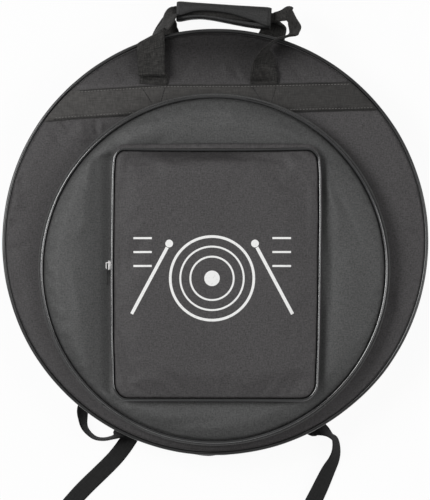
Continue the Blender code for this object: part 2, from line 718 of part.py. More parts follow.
def build_round_slider(level, lid):
    """Parked at the lower right end of the round pocket's zip."""
    rise = ROUND_CHORD + ROUND_POCKET_DROP
    angle = math.asin(rise / ROUND_POCKET_RADIUS) + (SLIDER_LENGTH / 2 + 4 * GAP) / ROUND_POCKET_RADIUS
    outward = (math.cos(angle), math.sin(angle), 0)
    place = (ROUND_POCKET_RADIUS * outward[0], ROUND_POCKET_RADIUS * outward[1] - ROUND_POCKET_DROP, level)
    frame = zip_frame(place, outward)
    ring_axis = add_pivot("round_slider_axis", (0, -ROUND_POCKET_DROP, level), lid)
    build_slider("round_slider", frame, ring_axis)
    bar = add_pivot("round_puller_axis", puller_axis(frame), ring_axis)
    build_puller("round_puller", frame, 1, PULLER_THICK, bar)


def build_small_slider(level, wall, round_flap):
    """Closed at the left end of the square pocket's zip, its puller hanging towards the foot."""
    place = (SMALL_SHIFT - SMALL_HALF_WIDTH - wall, SMALL_CHORD + SMALL_SLIDER_RISE, level)
    frame = zip_frame(place, (-1, 0, 0))
    axis = add_pivot("small_slider_axis", place, round_flap)
    build_slider("small_slider", frame, axis)
    bar = add_pivot("small_puller_axis", puller_axis(frame), axis)
    build_puller("small_puller", frame, 1, SMALL_PULLER_THICK, bar)


def band_outline(low, high, pocket_radius):
    """A band that ends at the rim and, if a pocket's radius is given, stops at that pocket's wall."""
    right = arc((0, 0), SHELL_RADIUS, math.asin(low / SHELL_RADIUS), math.asin(high / SHELL_RADIUS), BAND_END_STEPS)
    left = [(-x, y) for x, y in right[::-1]]
    if not pocket_radius:
        return right + left
    side = math.asin((low + ROUND_POCKET_DROP) / pocket_radius)
    notch = arc((0, -ROUND_POCKET_DROP), pocket_radius, math.pi - side, side, BAND_ARCH_STEPS)
    return right + left + notch


def build_bands(lid):
    notch = (ROUND_POCKET_RADIUS + GAP) / math.cos(math.pi / ROUND_STEPS)
    front = plate((band_outline(BAND_FOOT, BAND_TOP, notch),), FRONT + GAP, FRONT + GAP + BAND_THICK)
    add_piece("front_band", front, WEBBING, lid)
    rear = plate((band_outline(BAND_FOOT, BAND_TOP, 0),), -GAP - BAND_THICK, -GAP)
    add_piece("rear_band", rear, WEBBING)


def pointing(angles):
    """A unit direction from degrees round from +X and degrees up."""
    turn, rise = (math.radians(angle) for angle in angles)
    return Vector((math.cos(rise) * math.cos(turn), math.cos(rise) * math.sin(turn), math.sin(rise)))


def webbing(places, widths, thicknesses, directions):
    """A flat strap lofted through places, its width turned as each direction says."""
    rings = []
    for k, place in enumerate(places):
        tangent = (places[min(k + 1, len(places) - 1)] - places[max(k - 1, 0)]).normalized()
        across = pointing(directions[k])
        across = (across - tangent * across.dot(tangent)).normalized()
        through = tangent.cross(across)
        across *= widths[k] / 2
        through *= thicknesses[k] / 2
        corners = (-across - through, across - through, across + through, through - across)
        rings.append([place + corner for corner in corners])
    return loft(rings)


def handle(shares, start_level, grip_level):
    places = []
    for (across, reach, lift), width, layers, direction in shares:
        level = start_level + (grip_level - start_level) * lift
        places.append(Vector((HANDLE_SPAN * across - HANDLE_SHIFT, HANDLE_START + HANDLE_REACH * reach, level)))
    widths = [HANDLE_WEB_WIDTH * row[1] for row in shares]
    thicknesses = [WEB_THICK * row[2] for row in shares]
    return webbing(places, widths, thicknesses, [row[3] for row in shares])


def wrap_frame():
    """Carries the wrap's section, drawn across and up, along the tilted grip."""
    along = Vector((math.cos(WRAP_TILT), math.sin(WRAP_TILT), 0))
    up = Vector((0, 0, 1))
    across = up.cross(along)
    turn = Matrix((across, up, along)).transposed().to_4x4()
    return Matrix.Translation((WRAP_SHIFT, GRIP_Y, WRAP_LOW)) @ turn


def build_handles(lid):
    """Both webbing handles, the padded wrap that the rear one carries and the wrap's closing flap."""
    front_axis = add_pivot("front_handle_axis", (0, BAND_TOP, FRONT_WEB_LEVEL + WEB_THICK / 2), lid)
    rear_axis = add_pivot("rear_handle_axis", (0, BAND_TOP, REAR_WEB_LEVEL - WEB_THICK / 2))
    add_piece("front_handle", handle(FRONT_HANDLE_SHARES, FRONT_WEB_LEVEL, WEB_HIGH_LEVEL), WEBBING, front_axis)
    add_piece("rear_handle", handle(REAR_HANDLE_SHARES, REAR_WEB_LEVEL, WEB_LOW_LEVEL), WEBBING, rear_axis)
    frame = wrap_frame()
    half, wall, height = WRAP_WIDTH / 2, WRAP_WALL, WRAP_HEIGHT
    bevel = wall / 2
    lip = half - WRAP_LIP
    section = [(-half, bevel), (-half + bevel, 0), (half - bevel, 0), (half, bevel), (half, height)]
    section += [(half - wall, height), (half - wall, wall), (wall - half, wall), (wall - half, height - wall)]
    section += [(-lip, height - wall), (-lip, height), (-half + bevel, height), (-half, height - bevel)]
    channel = plate((section,), -WRAP_LENGTH / 2, WRAP_LENGTH / 2)
    channel.transform(frame)
    add_piece("grip_wrap", channel, PADDING, rear_axis)
    low, high = height + GAP, height + GAP + FLAP_THICK
    tip = half - FLAP_REACH
    cover = [(half, low), (half, high - bevel), (half - bevel, high), (tip + bevel, high), (tip, high - bevel)]
    cover += [(tip, low)]
    flap_mesh = plate((cover,), -WRAP_LENGTH / 2, WRAP_LENGTH / 2)
    flap_mesh.transform(frame)
    flap_axis = add_pivot("grip_flap_axis", frame @ Vector((half + GAP, low, 0)), rear_axis)
    add_piece("grip_flap", flap_mesh, PADDING, flap_axis)


def strap_places(side, tag):
    """The middle of the padded strap's section at each share of its run, its top close under the back."""
    places = []
    for (run, width, thick), sway in zip(STRAP_SHARES, STRAP_SWAY_SHARES[tag]):
        ceiling = BUCKLE_TOP if run == 1 else STRAP_CEILING
        x = side * (STRAP_TOP_SPACING + STRAP_SWAY * sway)
        places.append(Vector((x, STRAP_TOP - STRAP_RUN * run, ceiling - STRAP_THICK * thick / 2)))
    return places


def padded_strap(side, tag):
    places = strap_places(side, tag)
    widths = [STRAP_WIDTH * width for run, width, thick in STRAP_SHARES]
    thicknesses = [STRAP_THICK * thick for run, width, thick in STRAP_SHARES]
    return webbing(places, widths, thicknesses, [(0, 0)] * len(places))


def buckle_frame(side, tag):
    """Carries a buckle, drawn across and along, to the foot of its strap, in line with the strap's end."""
    before, end = strap_places(side, tag)[-2:]
    heading = (end - before).to_2d().normalized()
    turn = Matrix.Rotation(math.atan2(heading.x, -heading.y), 4, "Z")
    start = end.to_2d() + heading * GAP
    return Matrix.Translation((start.x, start.y, 0)) @ turn


def build_buckle(side, tag, pivot):
    """A ladder lock: a frame with three bars."""
    half = BUCKLE_WIDTH / 2
    inner = half - BUCKLE_SIDE
    slot = (BUCKLE_LENGTH - 3 * BUCKLE_BAR) / 2
    corner = BUCKLE_BAR / 2
    outline = [(-half, 0), (half, 0), (half, corner - BUCKLE_LENGTH), (half - corner, -BUCKLE_LENGTH)]
    outline += [(corner - half, -BUCKLE_LENGTH), (-half, corner - BUCKLE_LENGTH)]
    loops = [outline]
    for start in (-BUCKLE_BAR, -2 * BUCKLE_BAR - slot):
        loops.append([(-inner, start), (inner, start), (inner, start - slot), (-inner, start - slot)])
    mesh = plate(loops, BUCKLE_TOP - BUCKLE_THICK, BUCKLE_TOP)
    mesh.transform(buckle_frame(side, tag))
    add_piece("buckle_" + tag, mesh, PLASTIC, pivot)


def tail_places(side, tag):
    """From inside the buckle's outer slot, down under its end bar and out over the floor."""
    slot = (BUCKLE_LENGTH - 3 * BUCKLE_BAR) / 2
    start = buckle_frame(side, tag) @ Vector((0, -2 * BUCKLE_BAR - slot - slot / 5, 0))
    high = BUCKLE_TOP - STRAP_WEB_THICK / 2
    low = STRAP_FLOOR + STRAP_WEB_THICK / 2
    half = STRAP_WEB_WIDTH / 2
    places = []
    for (across, down), lift, (turn, rise) in TAIL_SHARES[tag]:
        level = high + (low - high) * lift
        level = max(level, low + half * math.sin(math.radians(abs(rise))))
        places.append(Vector((start.x + TAIL_REACH * across, start.y - TAIL_REACH * down, level)))
    return places


def loop_places(side, tag):
    """From under the anchor tab, out and back to the top of the buckle's middle bar."""
    anchor = anchor_end(side)
    slot = (BUCKLE_LENGTH - 3 * BUCKLE_BAR) / 2
    end = buckle_frame(side, tag) @ Vector((0, -BUCKLE_BAR - slot - BUCKLE_BAR / 2, 0))
    level = STRAP_CEILING - STRAP_WEB_THICK / 2
    places = []
    for (across, down), lift, direction in LOOP_SHARES[tag]:
        x = anchor.x + (end.x - anchor.x) * across
        places.append(Vector((x, anchor.y - LOOP_REACH * down, level + LOOP_REACH * lift)))
    places[-1].y = end.y
    return places


def strap_webbing(places, shares):
    """Narrow webbing along its places."""
    count = len(places)
    return webbing(places, [STRAP_WEB_WIDTH] * count, [STRAP_WEB_THICK] * count, [row[2] for row in shares])


def anchor_end(side):
    return Vector((side * ANCHOR_SPACING, -ANCHOR_DROP, 0))


def build_anchor(side, tag):
    """A folded cloth tab on the back that the lower webbing is sewn to."""
    half = ANCHOR_WIDTH / 2
    corner = half / 2
    outline = [(-half, 0), (half, 0), (half, ANCHOR_LENGTH - corner), (half - corner, ANCHOR_LENGTH)]
    outline += [(corner - half, ANCHOR_LENGTH), (-half, ANCHOR_LENGTH - corner)]
    mesh = plate((outline,), -GAP - ANCHOR_THICK, -GAP)
    end = anchor_end(side)
    turn = Matrix.Rotation(math.atan2(-end.x, -end.y), 4, "Z").inverted()
    mesh.transform(Matrix.Translation((end.x, end.y, 0)) @ turn)
    add_piece("anchor_" + tag, mesh, WEBBING)


def build_straps():
    """The top patch, then on each side a padded strap with its buckle and tail, and the webbing from the rim."""
    yoke_top = BAND_FOOT - GAP
    half = YOKE_WIDTH / 2
    outline = ((-half, yoke_top - YOKE_HEIGHT), (half, yoke_top - YOKE_HEIGHT), (half, yoke_top), (-half, yoke_top))
    add_piece("strap_yoke", plate((outline,), -GAP - YOKE_THICK, -GAP), PADDING)
    hinge_level = STRAP_CEILING - STRAP_THICK * STRAP_SHARES[0][2]
    for tag, side in (("left", -1), ("right", 1)):
        axis = add_pivot("strap_%s_axis" % tag, (side * STRAP_TOP_SPACING, STRAP_TOP + GAP / 2, hinge_level))
        add_piece("strap_" + tag, padded_strap(side, tag), PADDING, axis)
        build_buckle(side, tag, axis)
        build_anchor(side, tag)
        tail = strap_webbing(tail_places(side, tag), TAIL_SHARES[tag])
        add_piece("strap_tail_" + tag, tail, WEBBING, axis)
        loop = strap_webbing(loop_places(side, tag), LOOP_SHARES[tag])
        add_piece("lower_webbing_" + tag, loop, WEBBING)


def build():
    hinge_y = -SHELL_RADIUS - GAP - RIM_PIPING / 2
    lid = add_pivot("lid_axis", (0, hinge_y, ZIP_LEVEL))
    build_shell(lid)
    build_dividers()
    build_main_zip(lid)
    build_main_sliders()
    build_bands(lid)
    build_pockets(lid)
    build_handles(lid)
    build_straps()


build()
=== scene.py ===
import math
from functools import reduce

import bmesh
import bpy
import numpy as np
from mathutils import Matrix, Vector, noise
from mathutils.geometry import delaunay_2d_cdt


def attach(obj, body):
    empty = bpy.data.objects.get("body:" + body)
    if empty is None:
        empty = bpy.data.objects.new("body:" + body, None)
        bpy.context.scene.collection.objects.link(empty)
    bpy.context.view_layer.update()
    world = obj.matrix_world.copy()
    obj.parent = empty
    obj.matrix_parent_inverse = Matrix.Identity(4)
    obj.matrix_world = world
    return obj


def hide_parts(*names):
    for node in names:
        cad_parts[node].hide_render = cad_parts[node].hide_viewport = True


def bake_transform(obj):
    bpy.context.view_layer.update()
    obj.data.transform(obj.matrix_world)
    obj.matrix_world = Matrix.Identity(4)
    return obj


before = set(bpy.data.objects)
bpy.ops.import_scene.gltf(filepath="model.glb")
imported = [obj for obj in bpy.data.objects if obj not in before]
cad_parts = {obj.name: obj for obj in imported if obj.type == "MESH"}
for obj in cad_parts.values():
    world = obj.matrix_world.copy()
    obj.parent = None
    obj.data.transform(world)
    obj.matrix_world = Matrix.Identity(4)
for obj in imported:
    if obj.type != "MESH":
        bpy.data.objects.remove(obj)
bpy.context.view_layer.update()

SCENE = bpy.context.scene

# Sizes of the model, as its source has them
GAP = 0.0003
SHELL_RADIUS = 0.274
FRONT = 0.050
PANEL_THICK = 0.008
WALL_THICK = 0.0025
RIM_PIPING = 0.0025
ZIP_LEVEL = 0.025
TAPE_FACE = 0.2721
TAPE_THICK = 0.0012
TAPE_WIDTH = 0.0064
TAPE_SPLIT = 0.0006
POCKET_TAPE_WIDTH = 0.0022
HINGE_ANGLE = math.radians(15)
FOOT = 3 * math.pi / 2
BAND_TOP = 0.206
BAND_FOOT = 0.168
BAND_THICK = 0.002
ROUND_RADIUS = 0.2221
ROUND_DROP = 0.0366
ROUND_FLOOR = 0.0503
ROUND_BASE_HEIGHT = 0.0066
ROUND_TOP = 0.0709
ROUND_FACE = 0.0751
ROUND_CHORD = -0.2130
ROUND_PIPING = 0.0022
POCKET_WALL = 0.00125
SMALL_HALF_WIDTH = 0.1314
SMALL_HALF_HEIGHT = 0.1602
SMALL_SHIFT = 0.0023
SMALL_DROP = 0.0435
SMALL_FLOOR = 0.0754
SMALL_BASE_HEIGHT = 0.0050
SMALL_TOP = 0.0910
SMALL_FACE = 0.0968
SMALL_CHORD = -0.040
SMALL_PIPING = 0.0020
HANDLE_START = 0.2063
HANDLE_SPAN = 0.1454
HANDLE_SHIFT = 0.0077
HANDLE_WEB_WIDTH = 0.0366
HANDLE_WEB_THICK = 0.0019
GRIP_Y = 0.300
GRIP_START = -0.0630
GRIP_END = 0.0612
WRAP_LOW = 0.0147
WRAP_TILT = math.radians(-4.1)
WRAP_SHIFT = 0.012
WRAP_WIDTH = 0.024
WRAP_HEIGHT = 0.020
WRAP_THICK = 0.003
STRAP_TOP = 0.1514
STRAP_RUN = 0.352
STRAP_TOP_SPACING = 0.062
STRAP_SWAY = 0.048
STRAP_WIDTH = 0.060
STRAP_THICK = 0.0083
STRAP_CEILING = -0.0026
STRAP_FLOOR = -0.0109
STRAP_WEB_WIDTH = 0.022
STRAP_WEB_THICK = 0.0016
BUCKLE_TOP = -0.0045
BUCKLE_LENGTH = 0.027
BUCKLE_BAR = 0.0035
TAIL_REACH = 0.165
LOOP_REACH = 0.066
ANCHOR_X = 0.163
ANCHOR_Y = -0.192
TAB_HALF_WIDTH = 0.015
TAB_LENGTH = 0.040
YOKE_HALF_WIDTH = 0.095
YOKE_LOW = 0.1517
YOKE_HIGH = 0.1677
DIVIDER_THICK = 0.0019
DIVIDER_PITCH = 0.002
DIVIDER_MARGIN = 0.009


# Node materials

class Graph:
    """Short calls for a material's nodes."""

    def __init__(self, name):
        self.material = bpy.data.materials.new(name)
        self.material.use_nodes = True
        self.tree = self.material.node_tree
        self.shader = self.tree.nodes["Principled BSDF"]

    def node(self, kind, **settings):
        made = self.tree.nodes.new("ShaderNode" + kind)
        for key, value in settings.items():
            setattr(made, key, value)
        return made

    def feed(self, target, value):
        if isinstance(value, bpy.types.NodeSocket):
            self.tree.links.new(value, target)
        elif isinstance(value, tuple) and len(value) < len(target.default_value):
            target.default_value = (*value, 1)
        else:
            target.default_value = value

    def made(self, kind, values, result=0, **settings):
        """The output of a new node, fed by a list of values or by a dict of them."""
        new = self.node(kind, **settings)
        for key, value in values.items() if isinstance(values, dict) else enumerate(values):
            self.feed(new.inputs[key], value)
        return new.outputs[result]

    def math(self, operation, *values):
        return self.made("Math", values, operation=operation)

    def add(self, *values):
        return reduce(lambda a, b: self.math("ADD", a, b), values)

    def times(self, *values):
        return reduce(lambda a, b: self.math("MULTIPLY", a, b), values)

    def minus(self, a, b):
        return self.math("SUBTRACT", a, b)

    def distance(self, a, b):
        return self.math("ABSOLUTE", self.minus(a, b))

    def wave(self, place, pitch):
        return self.math("SINE", self.times(place, 2 * math.pi / pitch))

    def uv(self):
        parts = self.node("SeparateXYZ")
        self.feed(parts.inputs[0], self.node("UVMap").outputs[0])
        return parts.outputs[0], parts.outputs[1]

    def noise(self, scale, detail=3.0, roughness=0.5, vector=None):
        settings = {"Scale": scale, "Detail": detail, "Roughness": roughness}
        return self.made("TexNoise", {**settings, "Vector": vector or self.node("UVMap").outputs[0]})

    def yarns(self, along_u, along_v):
        """Noise with its own scale each way, for yarns that run level or upright."""
        values = (self.node("UVMap").outputs[0], (along_u, along_v, 1))
        return self.noise(1.0, 3.0, 0.6, self.made("VectorMath", values, operation="MULTIPLY"))

    def remap(self, value, low, high, out_low, out_high):
        return self.made("MapRange", (value, low, high, out_low, out_high))

    def vary(self, value, low, high):
        """A noise, which keeps mostly between 0.3 and 0.7, carried to a range."""
        return self.remap(value, 0.3, 0.7, low, high)

    def tint(self, colour, factor):
        """The colour times a number that varies over the surface."""
        return self.made("VectorMath", {0: colour, "Scale": factor}, operation="SCALE")

    def mix(self, share, low, high):
        return self.made("Mix", {0: share, 6: low, 7: high}, 2, data_type="RGBA")

    def bump(self, height, distance, strength=1.0):
        normal = self.made("Bump", {"Strength": strength, "Distance": distance, "Height": height})
        self.feed(self.shader.inputs["Normal"], normal)

    def set(self, **values):
        for key, value in values.items():
            self.feed(self.shader.inputs[key.replace("_", " ")], value)


LINT_COLOUR = (0.35, 0.34, 0.33)
INK_COLOUR = (0.88, 0.88, 0.87)


def woven(name, colour, pitch, rough=0.56, gloss=0.36, print_mask=None, painted_light=None):
    """Plain weave: over and under threads, slubs, faint soiling and lint."""
    g = Graph(name)
    weave = g.times(*(g.wave(place, pitch) for place in g.uv()))
    slub = g.noise(1 / (1.9 * pitch), 2.0)
    patches = g.noise(9.0, 4.0, 0.55)
    lint = g.remap(g.noise(700.0, 1.0), 0.72, 0.80, 0.0, 0.08)
    shade = g.add(g.remap(weave, -1, 1, 0.78, 1.22), g.vary(slub, -0.18, 0.18),
                  g.vary(g.yarns(130.0, 900.0), -0.22, 0.22), g.vary(g.yarns(900.0, 130.0), -0.22, 0.22))
    shade = g.times(shade, g.vary(patches, 0.92, 1.08))
    shine = g.vary(slub, gloss * 0.75, gloss * 1.25)
    # Painted light and shade: the optional mask scales the colour and the shine.
    if painted_light:
        left = painted_light(g)
        shade, shine = g.times(shade, left), g.times(shine, left)
    base = g.mix(lint, g.tint(colour, shade), LINT_COLOUR)
    height = g.add(weave, g.remap(slub, 0, 1, -0.6, 0.6))
    if print_mask:
        ink = print_mask(g)
        base = g.mix(ink, base, INK_COLOUR)
        height = g.times(height, g.minus(1.0, g.times(ink, 0.5)))
    g.set(Base_Color=base, Roughness=g.vary(patches, rough - 0.04, rough + 0.04), Specular_IOR_Level=shine)
    g.bump(height, 0.00005)
    return g.material


def ribbed(name, colour, pitch=0.0011, yarn=0.24, painted_light=None):
    """Webbing: ribs along its length, crossed by fine picks."""
    g = Graph(name)
    u, v = g.uv()
    chevron = g.add(v, g.math("PINGPONG", u, 0.0022))
    weave = g.add(g.times(g.wave(v, pitch), 0.45), g.times(g.wave(chevron, pitch * 1.6), 0.55))
    patches = g.noise(30.0, 4.0, 0.6)
    threads = [g.vary(g.yarns(*scale), 1 - yarn, 1 + yarn) for scale in ((90.0, 700.0), (640.0, 110.0))]
    shade = g.times(g.remap(weave, -1, 1, 0.72, 1.28), g.vary(patches, 0.90, 1.10), *threads)
    # Painted light: the optional mask scales the colour.
    if painted_light:
        shade = g.times(shade, painted_light(g))
    g.set(Base_Color=g.tint(colour, shade), Roughness=g.vary(patches, 0.72, 0.84), Sheen_Weight=0.04,
          Sheen_Roughness=0.45, Specular_IOR_Level=0.25)
    g.bump(weave, 0.00007)
    return g.material


def vinyl(name, colour=(0.009, 0.009, 0.0095), rough=0.14, coat=1.0):
    """Glossy piping with a fine grain, rubbed duller in places."""
    g = Graph(name)
    worn = g.noise(18.0, 4.0, 0.6)
    g.set(Base_Color=g.tint(colour, g.vary(worn, 0.85, 1.25)), Roughness=g.vary(worn, rough, rough + 0.18),
          Coat_Weight=coat, Coat_Roughness=0.10, Specular_IOR_Level=0.4 + 0.6 * coat)
    g.bump(g.noise(900.0, 2.0), 0.00006, 0.6)
    return g.material


def moulded(name, colour, rough=0.42):
    """Moulded plastic with a fine spark texture."""
    g = Graph(name)
    coordinates = g.node("TexCoord").outputs["Object"]
    wear = g.noise(60.0, 3.0, 0.6, coordinates)
    g.set(Base_Color=g.tint(colour, g.vary(wear, 0.85, 1.2)),
          Roughness=g.vary(wear, rough - 0.06, rough + 0.08))
    g.bump(g.noise(1600.0, 2.0, 0.5, coordinates), 0.00004, 0.5)
    return g.material


def plated(name, colour=(0.88, 0.87, 0.86), rough=0.36):
    """Plated metal with light scuffs."""
    g = Graph(name)
    scuff = g.noise(420.0, 4.0, 0.7, g.node("TexCoord").outputs["Object"])
    g.set(Base_Color=g.tint(colour, g.vary(scuff, 0.88, 1.08)), Metallic=1.0,
          Roughness=g.vary(scuff, rough, rough + 0.16))
    g.bump(scuff, 0.00003, 0.4)
    return g.material


# The print's places run from its middle. A mark's last number is half its line
PRINT_MIDDLE = (-0.001, -0.049)
PRINT_RINGS = ((0.054, 0.0017), (0.041, 0.0012), (0.028, 0.0012), (0.0045, 0.0055))
STICK = (0.104, -0.046, 0.058, 0.040, 0.0021)
STICK_TIP = (0.0555, 0.0450, 0.0024, 0.0026)
STROKES = tuple((0.078, rise, 0.102, rise, 0.0013) for rise in (0.052, 0.034, 0.016))


def percussion_print(g):
    """White line print: a ride cymbal face on, two sticks leaning out and a few level strokes."""
    u, v = g.uv()

    def ring(x, y, radius, half):
        dx, dy = g.minus(u, PRINT_MIDDLE[0] + x), g.minus(v, PRINT_MIDDLE[1] + y)
        length = g.math("SQRT", g.add(g.times(dx, dx), g.times(dy, dy)))
        return g.math("LESS_THAN", g.distance(length, radius), half)

    def line(x0, y0, x1, y1, half):
        length = math.hypot(x1 - x0, y1 - y0)
        tx, ty = (x1 - x0) / length, (y1 - y0) / length
        dx, dy = g.minus(u, PRINT_MIDDLE[0] + x0), g.minus(v, PRINT_MIDDLE[1] + y0)
        along = g.add(g.times(dx, tx), g.times(dy, ty))
        near = g.math("LESS_THAN", g.distance(g.times(dx, ty), g.times(dy, tx)), half)
        return g.times(near, g.math("LESS_THAN", g.distance(along, length / 2), length / 2))

    marks = [ring(0, 0, radius, half) for radius, half in PRINT_RINGS]
    for side in (-1, 1):
        marks.append(ring(side * STICK_TIP[0], *STICK_TIP[1:]))
        marks += [line(side * x0, y0, side * x1, y1, half) for x0, y0, x1, y1, half in (STICK, *STROKES)]
    total = reduce(lambda a, b: g.math("MAXIMUM", a, b), marks)
    return g.times(total, g.remap(g.noise(260.0, 3.0, 0.6), 0.26, 0.42, 0.72, 1.0))


def painted_top_shade(g):
    """Painted shade: the front panel's colour and shine are darkened above the band, most near the rim and
    between the handles.
    """
    u, v = g.uv()
    up = g.remap(v, BAND_TOP, SHELL_RADIUS - 0.02, 0.0, 1.0)
    beside = g.remap(g.math("ABSOLUTE", u), 0.05, 0.17, 1.0, 0.55)
    kept = g.add(g.times(up, 0.50), g.times(g.math("GREATER_THAN", up, 0.0), 0.16))
    return g.minus(1.0, g.times(kept, beside))


def band_painted_light(g):
    """Painted light: the band is painted lighter at its left end, towards the key lamp, and darker at its
    right end.
    """
    return g.remap(g.uv()[0], -0.20, 0.16, 1.24, 0.70)


def painted_dip_shade(g):
    """Painted shade: the square pocket's cloth is painted darker in the dip under its top seam, where the
    seam shades it.
    """
    u, v = g.uv()
    below = g.minus(SMALL_HALF_HEIGHT - SMALL_DROP, v)
    near = g.times(g.remap(below, 0.0160, 0.0070, 0.0, 1.0), g.remap(below, 0.0040, 0.0010, 1.0, 0.6))
    across = g.remap(g.distance(u, -0.022), 0.040, 0.100, 1.0, 0.15)
    return g.minus(1.0, g.times(near, across, 0.52))


CLOTH_COLOUR = (0.0560, 0.0530, 0.0540)
POCKET_COLOUR = (0.0560, 0.0565, 0.0560)
WEB_COLOUR = (0.0560, 0.0540, 0.0520)
CLOTH_PITCH = 0.0011
MATERIALS = {
    "shell": woven("shell_weave", CLOTH_COLOUR, CLOTH_PITCH),
    # The front panel's cloth carries painted shade above the band.
    "front": woven("front_weave", CLOTH_COLOUR, CLOTH_PITCH, painted_light=painted_top_shade),
    "pocket": woven("pocket_weave", POCKET_COLOUR, CLOTH_PITCH, rough=0.50, gloss=0.46),
    # The printed cloth carries painted shade in the dip under the square pocket's top seam.
    "print": woven("printed_weave", CLOTH_COLOUR, CLOTH_PITCH, print_mask=percussion_print, painted_light=painted_dip_shade),
    "lining": woven("lining_weave", (0.030, 0.030, 0.031), 0.0008),
    # The band's webbing carries painted light, lighter to the left.
    "webbing": ribbed("band_webbing", WEB_COLOUR, painted_light=band_painted_light),
    "handle": ribbed("handle_webbing", (0.0250, 0.0240, 0.0228), 0.0016, yarn=0.65),
    "tail": ribbed("strap_webbing", (0.0145, 0.0145, 0.0145), 0.0009),
    "tape": ribbed("zip_tape", (0.024, 0.024, 0.025), 0.0007),
    "padding": woven("grip_cloth", (0.020, 0.020, 0.020), 0.0009, rough=0.5),
    "piping": vinyl("piping_vinyl"),
    "rim": vinyl("rim_vinyl", (0.008, 0.008, 0.008), 0.30, 0.35),
    "thread": moulded("sewing_thread", (0.010, 0.010, 0.010), 0.6),
    # Painted highlight: pale thread stands in for the light caught by the stitches.
    "pale_thread": moulded("painted_highlight_thread", (0.150, 0.145, 0.140), 0.6),
    "coil": moulded("zip_coil", (0.018, 0.018, 0.019)),
    "buckle": moulded("buckle_plastic", (0.016, 0.016, 0.016)),
    "steel": plated("zip_metal"),
    "black_metal": moulded("black_puller", (0.004, 0.004, 0.004), 0.5),
}


# Mesh makers

def outward(mesh):
    solid = bmesh.new()
    solid.from_mesh(mesh)
    bmesh.ops.recalc_face_normals(solid, faces=solid.faces)
    solid.to_mesh(mesh)
    solid.free()


def finish_mesh(name, mesh, look):
    mesh.materials.append(MATERIALS[look])
    mesh.shade_smooth()
    piece = bpy.data.objects.new(name, mesh)
    SCENE.collection.objects.link(piece)
    return piece


def mesh_from(name, vertices, faces, uvs=None):
    """A mesh with UVs in metres, one for each vertex."""
    mesh = bpy.data.meshes.new(name)
    mesh.from_pydata([tuple(p) for p in vertices], [], [tuple(f) for f in faces])
    if uvs is not None:
        layer = mesh.uv_layers.new(name="UVMap")
        index = np.empty(len(mesh.loops), int)
        mesh.loops.foreach_get("vertex_index", index)
        layer.data.foreach_set("uv", np.asarray(uvs, float)[index].ravel())
    return mesh


def declare(piece, nodes, slot, body, upper=None, bend=None, fill=None):
    """Hides the model's parts that the piece stands for. Without an upper body the piece rides on its body;
    with one, its placing is baked into its mesh. Its slot, bend and fill are not used."""
    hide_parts(*nodes.split())
    if upper:
        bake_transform(piece)
    else:
        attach(piece, body)


def lengths_along(points):
    """The run from the first point to each point."""
    return np.concatenate([[0], np.cumsum(np.linalg.norm(np.diff(points, axis=0), axis=1))])


def tube(name, rings, look, cyclic=False):
    """A closed solid through rings of points, with UVs round and along in metres."""
    rings = np.asarray(rings, float)
    count, sides = rings.shape[:2]
    faces = []
    for j in range(count if cyclic else count - 1):
        a, b = j * sides, ((j + 1) % count) * sides
        for k in range(sides):
            k2 = (k + 1) % sides
            faces.append((a + k, a + k2, b + k2, b + k))
    if not cyclic:
        faces.append(tuple(range(sides))[::-1])
        faces.append(tuple(range((count - 1) * sides, count * sides)))
    uvs = [(u, v) for v in lengths_along(rings.mean(axis=1)) for u in lengths_along(rings[0])]
    mesh = mesh_from(name, rings.reshape(-1, 3), faces, uvs)
    outward(mesh)
    return finish_mesh(name, mesh, look)


def spline(points, per_span=8, cyclic=False):
    """Catmull-Rom through rows of numbers."""
    rows = np.asarray(points, float)
    count = len(rows)
    out = []
    for j in range(count if cyclic else count - 1):
        if cyclic:
            p0, p1, p2, p3 = (rows[(j + k) % count] for k in (-1, 0, 1, 2))
        else:
            p1, p2 = rows[j], rows[j + 1]
            p0 = rows[j - 1] if j else 2 * p1 - p2
            p3 = rows[j + 2] if j + 2 < count else 2 * p2 - p1
        for k in range(per_span):
            t = k / per_span
            out.append(0.5 * (2 * p1 + (p2 - p0) * t + (2 * p0 - 5 * p1 + 4 * p2 - p3) * t * t
                              + (3 * p1 - p0 - 3 * p2 + p3) * t ** 3))
    if not cyclic:
        out.append(rows[-1])
    return np.array(out)


def circle(cx, cy, radius, count=240):
    turns = np.arange(count) * 2 * math.pi / count
    return np.stack([cx + radius * np.cos(turns), cy + radius * np.sin(turns)], 1)


def resample(points, count):
    """Evenly spaced points round a closed outline."""
    loop = np.vstack([points, points[:1]])
    steps = lengths_along(loop)
    places = np.arange(count) * steps[-1] / count
    return np.stack([np.interp(places, steps, loop[:, k]) for k in (0, 1)], 1)


# How far the square pocket's sides stray, at shares of its half height
UP_SHARES = (-1.0, -0.9, -0.5, 0.0, 0.45, 0.8, 0.93, 1.0)
LEFT_STRAY = (0.0034, 0.0022, 0.0004, 0.0, 0.0006, 0.0012, 0.0026, 0.0046)
RIGHT_STRAY = (-0.0030, -0.0016, 0.0006, 0.0018, 0.0026, 0.0024, 0.0008, -0.0022)
UPPER_CORNER = 0.0100
LOWER_CORNER = 0.0175


